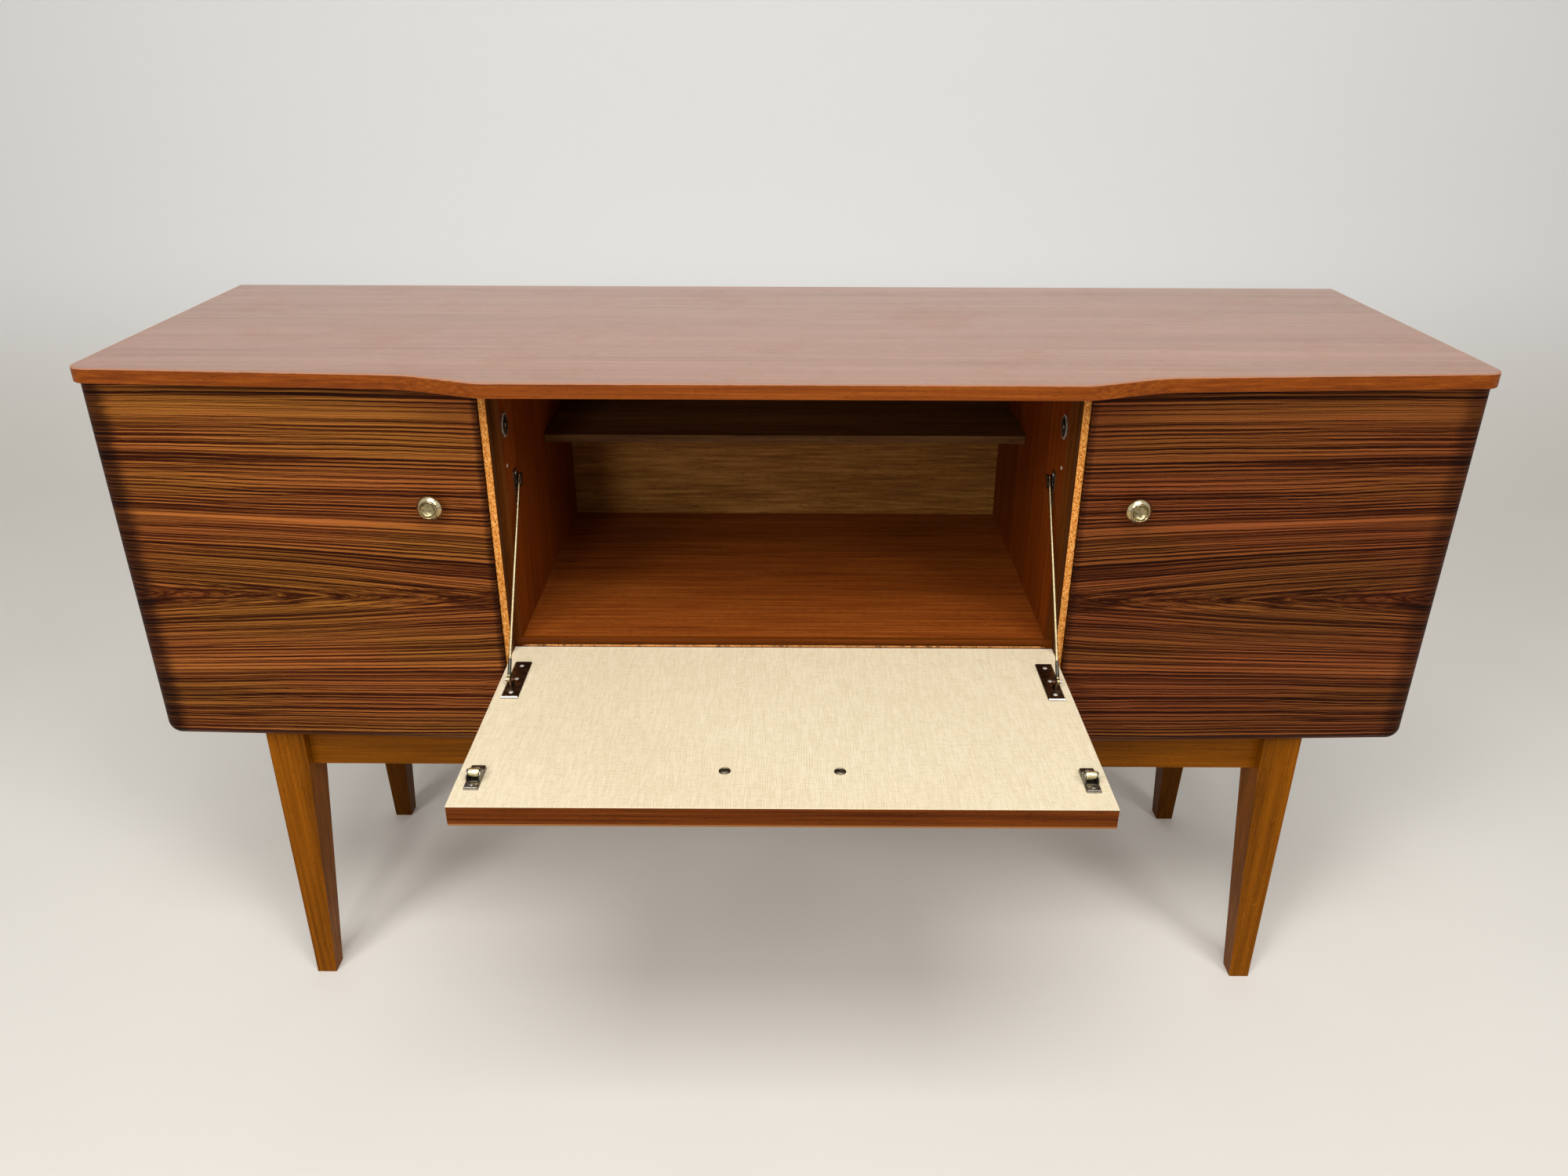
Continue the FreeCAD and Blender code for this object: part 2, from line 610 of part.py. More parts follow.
def piano_hinge():
    """The flap's long hinge: two leaves with knuckles in turn, and the pin through them."""
    pitch = number("knuckle_length") + number("knuckle_space")
    count = int(2 * number("bay_half") // pitch)
    start = -count * pitch / 2
    for label, side, first in (("flap_hinge_fixed_leaf", 1, 0), ("flap_hinge_moving_leaf", -1, 1)):
        low = "axis_y + hinge_set - leaf_thick" if side > 0 else "axis_y - hinge_set"
        parts = [box(label + "_plate", "-bay_half", low, "axis_z - leaf_width",
                     "2 * bay_half", "leaf_thick", "leaf_width - leaf_relief")]
        for index in range(first, count, 2):
            spot = f"{index - count / 2} * (knuckle_length + knuckle_space)"
            parts.append(rod(f"{label}_knuckle_{index}", "x", spot, "axis_y", "axis_z",
                             "knuckle_radius", "knuckle_length"))
            parts.append(box(f"{label}_tab_{index}", spot, low, "axis_z - leaf_relief",
                             "knuckle_length", "leaf_thick", "leaf_relief"))
        whole = joined(label + "_blank", *parts)
        bore = rod(label + "_bore", "x", "-bay_half", "axis_y", "axis_z",
                   "hinge_pin_radius + hinge_fit", "2 * bay_half")
        yield cut(label, whole, bore)
    yield rod("flap_hinge_pin", "x", "-bay_half", "axis_y", "axis_z", "hinge_pin_radius", "2 * bay_half")


def bar_handle(label, x, y, z, outwards):
    """A round bar on two posts with roses; it stands out along -Z or -Y."""
    down = outwards == "z"
    axis = "z" if down else "y"
    parts = []
    for side in ("-", ""):
        centre = f"{x} + {side}handle_half" if side == "" else f"{x} - handle_half"
        spot = (centre, y, f"{z} - handle_reach") if down else (centre, f"{y} - handle_reach", z)
        rose = (centre, y, f"{z} - foot_thick") if down else (centre, f"{y} - foot_thick", z)
        end = "left" if side else "right"
        parts.append(rod(f"{label}_post_{end}", axis, *spot, "post_radius", "handle_reach"))
        parts.append(rod(f"{label}_rose_{end}", axis, *rose, "foot_radius", "foot_thick"))
    bar_y = y if down else f"{y} - handle_reach"
    bar_z = f"{z} - handle_reach" if down else z
    parts.append(rod(f"{label}_bar", "x", f"{x} - handle_half - handle_end", bar_y, bar_z,
                     "handle_radius", "handle_centres + 2 * handle_end"))
    return joined(label, *parts)


def flap():
    """The drop front: board, laminate lining, handle, stay plates and roller catches."""
    yield box("flap_board", "-flap_half", "flap_rear_y - flap_length", "axis_z - flap_thick",
              "2 * flap_half", "flap_length", "flap_thick - lining_thick")
    yield box("flap_lining", "-flap_half", "flap_rear_y - flap_length", "lining_z",
              "2 * flap_half", "flap_length", "lining_thick")
    yield bar_handle("flap_handle", "0 * handle_half", "handle_y", "axis_z - flap_thick", "z")
    heads = [rod(f"flap_screw_{end}", "z", spot, "handle_y", "axis_z",
                 "handle_screw_radius", "screw_head_thick")
             for end, spot in (("left", "-handle_half"), ("right", "handle_half"))]
    yield group("flap_handle_screws", *heads)
    plate = stay_plate()
    yield plate
    yield mirrored("right_stay_plate", plate)
    cradle = roller_cradle()
    yield cradle
    yield mirrored("right_roller_catch", cradle)
    reel = cut("left_catch_roller", rod("roller_blank", "x", "-cradle_mid - roller_half", "roller_y",
                                        "roller_z", "roller_radius", "2 * roller_half"),
               rod("roller_hole", "x", "-cradle_outer", "roller_y", "roller_z",
                   "roller_bore + roller_fit", "cradle_width"))
    yield reel
    yield mirrored("right_catch_roller", reel)


def stay_plate():
    """The bevelled plate screwed to the flap, with an ear for the stay and three screw heads."""
    body = padded("stay_plate_body", "XY_Plane", (
        ("0", "0"), ("plate_width", "0"), ("plate_width", "plate_length"), ("0", "plate_length")),
        "plate_thick")
    base = body.Tip
    bevel = body.newObject("PartDesign::Chamfer", "Bevel")
    top = number("plate_thick")
    bevel.Base = (base, edge_names(base.Shape, lambda edge: all(near(v.Z, top) for v in edge.Vertexes)))
    bevel.setExpression("Size", bound("plate_bevel"))
    place(body, x="-plate_outer", y="plate_far_y", z="axis_z")
    ear = box("stay_plate_ear", "-cheek_inner", "foot_y - ear_length / 2", "axis_z",
              "ear_thick", "ear_length", "ear_height")
    pin = rod("stay_plate_pin", "x", "-bay_half + ear_pin_space", "foot_y", "foot_z", "ear_pin_radius",
              "bay_half - ear_pin_space - cheek_inner + ear_thick")
    holes = [rod(f"stay_plate_hole_{index}", "z", "-(plate_outer + plate_inner) / 2",
                 f"plate_far_y + plate_length * {share}", "axis_z + plate_thick - screw_head_thick",
                 "plate_screw_radius", "plate_thick")
             for index, share in enumerate(PLATE_SCREW_SHARES)]
    return cut("left_stay_plate", joined("stay_plate_blank", body, ear, pin), *holes)


PLATE_SCREW_SHARES = (0.13, 0.5, 0.87)


def roller_cradle():
    """The base, cheeks and axle of a roller catch."""
    base = box("cradle_foot", "-cradle_outer", "roller_y - cradle_length / 2", "axis_z",
               "cradle_width", "cradle_length", "cradle_base")
    cheeks = [box(f"cradle_cheek_{end}", spot, "roller_y - cheek_length / 2", "axis_z",
                  "cradle_cheek", "cheek_length", "cradle_height")
              for end, spot in (("outer", "-cradle_outer"),
                                ("inner", "-cradle_outer + cradle_width - cradle_cheek"))]
    axle = rod("cradle_axle", "x", "-cradle_outer", "roller_y", "roller_z", "roller_bore", "cradle_width")
    return joined("left_roller_catch", base, *cheeks, axle)


def stays():
    """Each stay: a bracket with a stud, a forked swivel on it, and a rod that runs between its cheeks."""
    plate = box("bracket_plate", "-bay_half", "head_y - bracket_width / 2",
                "head_z - bracket_length + bracket_above", "bracket_thick", "bracket_width", "bracket_length")
    stud = rod("bracket_stud", "x", "-bay_half", "head_y", "head_z", "stud_radius",
               "bay_half - cheek_outer")
    bracket = joined("stay_bracket", plate, stud)
    yield group("stay_brackets", bracket, mirrored("stay_bracket_right", bracket))
    yoke = padded("swivel_body", "XY_Plane", (
        ("-yoke_outer", "-yoke_front"), ("-yoke_outer", "yoke_back"), ("-yoke_inner", "yoke_back"),
        ("-yoke_inner", "-yoke_front"), ("-cheek_inner", "-yoke_front"), ("-cheek_inner", "web_near"),
        ("-cheek_outer", "web_near"), ("-cheek_outer", "-yoke_front")), "yoke_length", middle=True)
    for along, bend in (("-yoke_front", "yoke_round"), ("yoke_back", "yoke_heel")):
        eased(yoke, bend, lambda edge: all(near(v.Y, number(along)) for v in edge.Vertexes)
              and near(edge.Vertexes[0].Z, edge.Vertexes[-1].Z))
    turn(yoke, LEFTWARDS, "stay_lean")
    place(yoke, y="head_y", z="head_z")
    stud_hole = rod("swivel_stud_hole", "x", "-bay_half", "head_y", "head_z", "stud_radius + stud_fit",
                    "bay_half - stay_half")
    swivel = cut("left_stay_swivel", yoke, stud_hole)
    yield swivel
    yield mirrored("right_stay_swivel", swivel)
    shank = turn(rod("stay_shank", "z", "-stay_half", "foot_y", "foot_z",
                     "stay_radius", "stay_span + stay_stub"), LEFTWARDS, "stay_lean")
    eye = rod("stay_eye", "x", "-stay_half - stay_radius - eye_shoulder", "foot_y", "foot_z", "eye_radius",
              "2 * (stay_radius + eye_shoulder)")
    eye_hole = rod("stay_eye_hole", "x", "-bay_half", "foot_y", "foot_z", "ear_pin_radius + ear_pin_fit",
                   "bay_half - cheek_inner")
    stay = cut("left_stay_rod", joined("stay_whole", shank, eye), eye_hole)
    yield stay
    yield mirrored("right_stay_rod", stay)


def keep_plates():
    """The octagonal plates in the bay that the roller catches meet."""
    flat_w, half_w = "keep_flat_width", "keep_half_width"
    flat_h, half_h = "keep_flat_height", "keep_half_height"
    ring = ((flat_w, half_h), (half_w, flat_h), (half_w, "-" + flat_h), (flat_w, "-" + half_h),
            ("-" + flat_w, "-" + half_h), ("-" + half_w, "-" + flat_h), ("-" + half_w, flat_h),
            ("-" + flat_w, half_h))
    keep = padded("keep_body", "YZ_Plane", ring, "keep_thick")
    place(keep, x="-bay_half", y="keep_front_y + keep_half_width", z="keep_z")
    return group("keep_plates", keep, mirrored("keep_body_right", keep))


def door():
    """The left door, canted, with its outer lower corner and its front edges rounded."""
    body = padded("door_body", "XY_Plane", (
        ("-door_inner", "-door_back_in"), ("-door_inner", "-door_front_in"),
        ("-side_half", "-door_front_out"), ("-side_half", "-door_back_out")), "door_tall")
    outer = -number("side_half")
    inner = -number("door_inner")
    eased(body, "side_round", lambda edge: all(near(v.X, outer) and near(v.Z, 0) for v in edge.Vertexes))
    front_out = -number("door_front_out")
    eased(body, "door_edge_round", lambda edge: upright(edge) and near(edge.Vertexes[0].X, outer)
          and near(edge.Vertexes[0].Y, front_out))
    front_in = -number("door_front_in")
    eased(body, "door_inner_round", lambda edge: upright(edge) and near(edge.Vertexes[0].X, inner)
          and near(edge.Vertexes[0].Y, front_in))
    place(body, y="back_y", z="door_low")
    notches = [rod(f"door_notch_{end}", "z", "-side_half", "butt_axis_y", f"butt_{end} - butt_room",
                   "butt_radius + butt_room", "butt_length + 2 * butt_room") for end in ("low", "high")]
    return cut("left_door", body, *notches)


def knob():
    """A turned knob with a wide flange and a dished front, square to the canted door."""
    body = turned("left_knob", (
        ("0", "0"), ("0", "knob_neck_radius"), ("knob_neck_length", "knob_neck_radius"),
        ("knob_neck_length", "knob_flange_radius"), ("knob_flange_end", "knob_flange_radius"),
        ("knob_flange_end", "knob_ring_radius"), ("knob_length", "knob_ring_radius"),
        ("knob_length", "knob_dish_radius"), ("knob_dish_floor", "0")))
    flange = number("knob_flange_radius")
    neck, end = number("knob_neck_length"), number("knob_flange_end")
    eased(body, "arris", lambda edge: len(edge.Vertexes) < 2 and near(edge.BoundBox.YMax, flange)
          and (near(edge.BoundBox.XMax, neck) or near(edge.BoundBox.XMax, end)))
    turn(body, DOWNWARDS, "90 deg + cant_angle")
    place(body, x="-knob_half", y="back_y - knob_depth", z="knob_z")
    return body


def butt_leaves(label, moving):
    """The two hinge leaves of the left door, on the door or on the side panel."""
    leaf_y = "butt_axis_y - door_gap / 2" if moving else "butt_axis_y + door_gap / 2 - butt_thick"
    leaves = []
    for end in ("low", "high"):
        foot = f"butt_{end}"
        parts = [box(f"{label}_{end}_leaf", "-side_half + butt_radius", leaf_y, foot,
                     "butt_width", "butt_thick", "butt_length")]
        thirds = (1,) if moving else (0, 2)
        for third in thirds:
            base = f"{foot} + {third} * knuckle_third + knuckle_space / 2"
            tall = "knuckle_third - knuckle_space"
            parts.append(rod(f"{label}_{end}_knuckle_{third}", "z", "-side_half", "butt_axis_y", base,
                             "butt_radius", tall))
            parts.append(box(f"{label}_{end}_wrap_{third}", "-side_half", leaf_y, base,
                             "butt_radius", "butt_thick", tall))
        blank = joined(f"{label}_{end}_blank", *parts)
        keep_out = [rod(f"{label}_{end}_bore", "z", "-side_half", "butt_axis_y", foot,
                        "butt_pin_radius + hinge_fit", "butt_length")]
        for third in (0, 2) if moving else (1,):
            keep_out.append(rod(f"{label}_{end}_room_{third}", "z", "-side_half", "butt_axis_y",
                                f"{foot} + {third} * knuckle_third - knuckle_space / 2",
                                "butt_radius + butt_room", "knuckle_third + knuckle_space"))
        leaves.append(cut(f"{label}_{end}", blank, *keep_out))
    return group(label, *leaves)


def door_catches():
    """A spring catch high up on each divider and the plate that it holds on the door."""
    case = box("door_catch", "-divider_outer - catch_width", "back_y - front_depth", "catch_low",
               "catch_width", "catch_depth", "catch_height")
    nose = rod("door_catch_nose", "z", "-divider_outer - catch_width / 2", "back_y - front_depth",
               "catch_low", "catch_nose", "catch_height")
    catch = joined("door_catch_whole", case, nose)
    yield group("door_catches", catch, mirrored("door_catch_right", catch))
    strike = padded("left_door_strike", "XY_Plane", (
        ("-strike_inner", "-strike_back_in"), ("-strike_inner", "-strike_seat_in"),
        ("-strike_outer", "-strike_seat_out"), ("-strike_outer", "-strike_back_out")), "catch_height")
    place(strike, y="back_y", z="catch_low")
    yield strike
    yield mirrored("right_door_strike", strike)


def doors():
    """Both doors with their knobs, hinge leaves, pins and catches."""
    left = door()
    yield left
    yield mirrored("right_door", left)
    left_knob = knob()
    yield left_knob
    yield mirrored("right_knob", left_knob)
    for label, moving in (("door_leaves", True), ("door_fixed_leaves", False)):
        leaves = butt_leaves("left_" + label, moving)
        yield leaves
        yield mirrored("right_" + label, leaves)
    yield from door_catches()
    pins = [rod(f"butt_pin_{end}", "z", "-side_half", "butt_axis_y", f"butt_{end}",
                "butt_pin_radius", "butt_length") for end in ("low", "high")]
    pins += [mirrored(pin.Label + "_right", pin) for pin in pins]
    yield group("door_hinge_pins", *pins)


def drawer():
    """The drawer below the bay, with its runners."""
    yield box("drawer_front", "-drawer_half", "back_y - drawer_front_depth", "drawer_low",
              "2 * drawer_half", "board", "drawer_top - drawer_low")
    side = box("drawer_side", "-drawer_box_half", "back_y - drawer_back_depth", "drawer_floor",
               "drawer_side_thick", "drawer_depth", "drawer_side_height")
    yield group("drawer_sides", side, mirrored("drawer_side_right", side))
    yield box("drawer_back", "-drawer_box_half + drawer_side_thick",
              "back_y - drawer_back_depth + drawer_depth - drawer_side_thick", "drawer_floor",
              "2 * (drawer_box_half - drawer_side_thick)", "drawer_side_thick", "drawer_side_height")
    yield box("drawer_bottom", "-drawer_box_half + drawer_side_thick", "back_y - drawer_back_depth",
              "drawer_floor + drawer_bottom_rise", "2 * (drawer_box_half - drawer_side_thick)",
              "drawer_depth - drawer_side_thick", "drawer_bottom_thick")
    yield bar_handle("drawer_handle", "0 * handle_half", "back_y - drawer_front_depth", "drawer_mid", "y")
    runner = box("runner", "-drawer_box_half - drawer_space", "back_y - drawer_back_depth + board",
                 "bottom_top", "runner_width", "drawer_depth - board", "runner_height")
    yield group("drawer_runners", runner, mirrored("runner_right", runner))


pieces = []
for section in (top_and_lipping, carcass, frame, piano_hinge, flap, stays, doors, drawer):
    pieces.extend(section())
pieces.append(keep_plates())
doc.recompute()

for thing in doc.Objects:
    if "Invalid" in thing.State or "Error" in thing.State:
        raise RuntimeError(f"{thing.Label} failed to build: {thing.State}")
for piece in pieces:
    if piece.Shape.isNull() or not piece.Shape.isValid() or not piece.Shape.Solids:
        raise RuntimeError(f"{piece.Label} has no sound shape")

os.makedirs("parts", exist_ok=True)
for piece in pieces:
    piece.Shape.exportStep(f"parts/{piece.Label}.step")
print(len(pieces), "pieces")
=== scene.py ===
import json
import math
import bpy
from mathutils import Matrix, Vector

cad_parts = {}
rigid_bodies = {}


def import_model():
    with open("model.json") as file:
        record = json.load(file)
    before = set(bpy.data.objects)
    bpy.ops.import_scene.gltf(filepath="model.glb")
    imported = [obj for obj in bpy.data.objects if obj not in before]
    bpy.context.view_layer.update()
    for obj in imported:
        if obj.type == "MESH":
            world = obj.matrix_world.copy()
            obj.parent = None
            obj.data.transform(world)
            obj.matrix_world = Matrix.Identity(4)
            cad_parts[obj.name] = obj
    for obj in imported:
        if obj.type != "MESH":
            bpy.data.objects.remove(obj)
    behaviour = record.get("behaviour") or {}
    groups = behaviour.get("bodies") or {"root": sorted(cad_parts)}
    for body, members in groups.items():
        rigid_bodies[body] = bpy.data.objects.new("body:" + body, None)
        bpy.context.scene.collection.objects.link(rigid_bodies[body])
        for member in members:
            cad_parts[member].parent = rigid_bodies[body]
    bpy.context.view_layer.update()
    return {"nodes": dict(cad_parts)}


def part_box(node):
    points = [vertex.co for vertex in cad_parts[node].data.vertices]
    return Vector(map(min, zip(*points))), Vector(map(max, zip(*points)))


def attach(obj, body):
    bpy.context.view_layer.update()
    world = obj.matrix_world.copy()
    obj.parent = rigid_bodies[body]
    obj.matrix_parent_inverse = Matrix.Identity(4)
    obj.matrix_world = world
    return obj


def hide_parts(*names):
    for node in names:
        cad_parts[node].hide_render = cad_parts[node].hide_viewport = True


bl_info = {
    "name": "Drop-front sideboard",
    "version": (1, 0, 0),
    "blender": (4, 5, 0),
    "location": "3D View > Sidebar > Sideboard",
    "description": "Finishes and fittings of a long sideboard with two doors, a drop flap and a drawer",
    "category": "Object",
}

import bmesh
import bpy
from mathutils import Matrix, Vector

for leftover in list(bpy.data.objects):
    bpy.data.objects.remove(leftover)
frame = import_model()
NODES = frame["nodes"]
FLOAT, VECTOR, LEVEL = "NodeSocketFloat", "NodeSocketVector", "Specular IOR Level"
MM = 0.001
SIDES = (("left", -1), ("right", 1))


def middle(node):
    low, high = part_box(node)
    return (low + high) / 2


# places in the CAD frame, in metres
DOOR_LOW, DOOR_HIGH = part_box("right_door")
FLAP_LOW, FLAP_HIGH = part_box("flap_board")
AXIS = middle("flap_hinge_pin")
FOOT = Vector((0, -0.13375, 0.472))  # the stay's pin on the flap
HEAD = Vector((0, -0.00875, 0.640))  # the stay's swivel
KNOB_REACH = 0.351  # from the middle to a knob
CANT = math.atan2(12, 387.5)  # how far the doors turn back
HEART_HEIGHT = 0.53  # where the veneer's lines close to a wedge
THREAD, CROSS_THREAD = 0.0014, 0.0016  # spacing of the laminate's printed threads

# places beside the bay, in millimetres
RIVET_X, EAR_X, ROD_X, WALL_X = 270.5, 272.2, 275.5, 280
RIVET_SHARES = (0.13, 0.5, 0.87)  # along the stay plate
FERRULE_START, TIP_START = 4.6, 2.9  # along the rod, from its two ends
BRACKET_SCREWS = ((HEAD.y / MM, 646.4, 1.9, 20, 1.3), (HEAD.y / MM, 617.5, 2.1, 70, 1.3),
                  (-34.5, 663.5, 2.1, 45, 0.0))  # y, z, radius, turn, depth

# turned profiles: height and radius pairs, in millimetres
KNOB_PROFILE = ((0, 0), (0, 6.5), (5.2, 6.5), (6.2, 7.4), (7.2, 9.4), (7.9, 11.6), (8.4, 12.6), (8.9, 13.0),
                (9.5, 12.95), (10.3, 12.5), (11.4, 11.6), (12.4, 10.7), (13.1, 10.0), (13.5, 9.5), (14.2, 9.3),
                (14.7, 9.15), (14.95, 8.9), (15.0, 8.6), (14.9, 8.4), (14.5, 8.25), (13.4, 7.8), (12.2, 6.9),
                (11.3, 5.6), (10.75, 3.9), (10.5, 2.0), (10.45, 0))
CHEEK_PROFILE = ((-0.65, 0), (-0.65, 4.3), (-0.4, 4.7), (0.4, 4.7), (0.65, 4.3), (0.65, 0))
ROLLER_PROFILE = ((-4.85, 1.28), (-4.85, 3.1), (-4.6, 3.5), (-3.2, 3.85), (0, 4.0), (3.2, 3.85), (4.6, 3.5),
                  (4.85, 3.1), (4.85, 1.28), (-4.85, 1.28))
FERRULE_PROFILE = ((0, 1.45), (0, 1.7), (0.5, 1.85), (2.0, 1.88), (13.0, 1.85), (15.4, 1.78), (16.6, 1.62),
                   (16.8, 1.45), (0, 1.45))
TIP_PROFILE = ((0, 0), (0, 1.5), (0.4, 1.65), (2.2, 1.62), (2.9, 1.25), (3.1, 0))
CUP_PROFILE = ((-0.3, 0), (-0.3, 5.5), (0.2, 5.5), (0.6, 5.2), (0.75, 4.8), (0.55, 4.35), (0.25, 4.0), (0.2, 0))

# the camera and the lamps
CAMERA_SPOT, CAMERA_TURN = (0.0034, -1.15625, 1.0635), (90 - 25.53, 0.186, 0.163)
LENS, SENSOR = 26.924, 36.0
LAMPS = (("Low lamp", "low_power", (-0.75, -3.2, 1.6), (0.0, 0.0, 0.5), (0.4, 0.4)),
         ("Left lamp", "left_power", (-1.7, -2.4, 2.6), (-0.1, 0.0, 0.5), (0.9, 0.9)),
         ("Right lamp", "right_power", (1.7, -2.2, 2.6), (0.1, 0.0, 0.5), (0.9, 0.9)),
         ("High lamp", "high_power", (0.0, -1.6, 3.4), (0.0, -0.1, 0.5), (2.2, 1.2)))
BACKDROP = (0.93, 0.925, 0.91)
COVE, BACK, WALL_HEIGHT = 0.8, 2.4, 3.0


# ---- shader building blocks -------------------------------------------------------------------

class Shade:
    """Builds one shader tree: each method adds a node and gives back its output."""

    def __init__(self, tree):
        self.tree = tree

    def feed(self, socket, value):
        """Links a socket's value, or writes a constant on it."""
        if isinstance(value, bpy.types.NodeSocket):
            self.tree.links.new(value, socket)
        else:
            socket.default_value = value

    def put(self, kind, inputs=None, **settings):
        made = self.tree.nodes.new(kind)
        for name, value in settings.items():
            setattr(made, name, value)
        for key, value in (inputs or {}).items():
            self.feed(made.inputs[key], value)
        return made

    def maths(self, operation, a, b=0.0, c=0.0, clamp=False):
        return self.put("ShaderNodeMath", {0: a, 1: b, 2: c}, operation=operation, use_clamp=clamp).outputs[0]

    def plus(self, a, b):
        return self.maths("ADD", a, b)

    def minus(self, a, b):
        return self.maths("SUBTRACT", a, b)

    def times(self, a, b):
        return self.maths("MULTIPLY", a, b)

    def times_plus(self, a, b, c, clamp=False):
        """a times b, plus c."""
        return self.maths("MULTIPLY_ADD", a, b, c, clamp)

    def most(self, a, b):
        return self.maths("MAXIMUM", a, b)

    def size(self, a):
        return self.maths("ABSOLUTE", a)

    def wave(self, phase):
        """A sine between 0 and 1."""
        return self.times_plus(self.maths("SINE", phase), 0.5, 0.5)

    def blend(self, factor, a, b, mode="MIX"):
        """Mixes two colours."""
        return self.put("ShaderNodeMix", {0: factor, 6: a, 7: b}, data_type="RGBA", blend_type=mode).outputs[2]

    def tint(self, factor, a, b):
        """Multiplies one colour by another."""
        return self.blend(factor, a, b, "MULTIPLY")

    def fade(self, value, low, high, to_low=0.0, to_high=1.0, smooth=True):
        """Maps a range of values to another one."""
        return self.put("ShaderNodeMapRange", {0: value, 1: low, 2: high, 3: to_low, 4: to_high},
                        interpolation_type="SMOOTHSTEP" if smooth else "LINEAR").outputs[0]

    def ramp(self, value, stops):
        made = self.put("ShaderNodeValToRGB", {0: value})
        elements = made.color_ramp.elements
        while len(elements) < len(stops):
            elements.new(0.5)
        for element, (place, colour) in zip(elements, stops):
            element.position = place
            element.color = (*colour, 1.0)
        return made.outputs[0]

    def scaled(self, vector, scale=(1, 1, 1), offset=(0, 0, 0), turn=(0, 0, 0)):
        return self.put("ShaderNodeMapping", {"Vector": vector, "Scale": scale, "Location": offset,
                                              "Rotation": turn}).outputs[0]

    def noise(self, vector, scale=1.0, detail=2.0, rough=0.5):
        return self.put("ShaderNodeTexNoise", {"Vector": vector, "Scale": scale, "Detail": detail,
                                               "Roughness": rough}).outputs[0]

    def split(self, vector):
        return self.put("ShaderNodeSeparateXYZ", {0: vector}).outputs

    def merge(self, x, y, z):
        return self.put("ShaderNodeCombineXYZ", {0: x, 1: y, 2: z}).outputs[0]

    def group(self, name, vector, **inputs):
        """Places a shader group and gives back its outputs. The input "Fibre Length" is fibre_length."""
        made = self.tree.nodes.new("ShaderNodeGroup")
        made.node_tree = bpy.data.node_groups[name]
        self.feed(made.inputs["Vector"], vector)
        for key, value in inputs.items():
            self.feed(made.inputs[key.replace("_", " ").title()], value)
        return made.outputs


class Finish(Shade):
    """A new material's tree, with its Principled shader, its Object coordinates and its normals."""

    def __init__(self, name):
        self.material = bpy.data.materials.new(name)
        self.material.use_nodes = True
        super().__init__(self.material.node_tree)
        self.tree.nodes.clear()
        self.shader = self.tree.nodes.new("ShaderNodeBsdfPrincipled")
        out = self.tree.nodes.new("ShaderNodeOutputMaterial")
        self.tree.links.new(self.shader.outputs[0], out.inputs[0])
        coordinates = self.tree.nodes.new("ShaderNodeTexCoord").outputs
        self.spot, self.normal = coordinates["Object"], coordinates["Normal"]

    def done(self, colour, rough, others=(), height=None, strength=0.0, distance=0.0002):
        """Feeds the shader, bumps it by the height and gives back the material."""
        wishes = {"Base Color": colour, "Roughness": rough, **dict(others)}
        if strength:
            bump = {"Height": height, "Strength": strength, "Distance": distance}
            wishes["Normal"] = self.put("ShaderNodeBump", bump).outputs[0]
        for name, value in wishes.items():
            self.feed(self.shader.inputs[name], value)
        return self.material


def new_group(name, numbers, outputs, made=FLOAT):
    """An empty shader group: a vector and numbers with their defaults go in, outputs of one kind come out."""
    tree = bpy.data.node_groups.new(name, "ShaderNodeTree")
    tree.interface.new_socket("Vector", in_out="INPUT", socket_type=VECTOR)
    for label, default in numbers.items():
        tree.interface.new_socket(label, in_out="INPUT", socket_type=FLOAT).default_value = default
    for label in outputs:
        tree.interface.new_socket(label, in_out="OUTPUT", socket_type=made)
    return Shade(tree), tree.nodes.new("NodeGroupInput").outputs, tree.nodes.new("NodeGroupOutput").inputs


def wood_grain_group():
    """Long fibres, broad growth bands and short pores that run along X."""
    n, given, out = new_group("Wood grain", {
        "Fibre Length": 5.0, "Fibre Spacing": 250.0, "Band Spacing": 18.0, "Wander": 0.004, "Crinkle": 0.0,
        "Line Spacing": 210.0, "Seed": 0.0}, ("Fibre", "Band", "Pore", "Line"))
    x, y, z = n.split(given["Vector"])
    x = n.times_plus(given["Seed"], 3.7, x)
    drift = n.noise(n.scaled(n.merge(x, y, z), (2.2, 7, 7)))
    y = n.times_plus(n.minus(drift, 0.5), given["Wander"], y)
    ripple = n.noise(n.scaled(n.merge(x, y, z), (38, 110, 110)))
    y = n.times_plus(n.minus(ripple, 0.5), given["Crinkle"], y)
    spacing, length = given["Fibre Spacing"], given["Fibre Length"]
    fibre = n.merge(n.times(x, length), n.times(y, spacing), n.times(z, spacing))
    n.feed(out["Fibre"], n.noise(fibre, detail=3.0, rough=0.62))
    stray = n.noise(n.scaled(n.merge(x, y, z), (1.6, 45, 45)))
    phase = n.times(n.times(y, given["Line Spacing"]), math.tau)
    n.feed(out["Line"], n.wave(n.times_plus(stray, 16.0, phase)))
    bands = given["Band Spacing"]
    band = n.merge(n.times(x, n.times(length, 0.22)), n.times(y, bands), n.times(z, bands))
    n.feed(out["Band"], n.noise(band, detail=3.0, rough=0.55))
    pore = n.merge(n.times(x, n.times(spacing, 0.35)), n.times(y, n.times(spacing, 5.0)),
                   n.times(z, n.times(spacing, 5.0)))
    n.feed(out["Pore"], n.fade(n.noise(pore, detail=1.0), 0.60, 0.70))


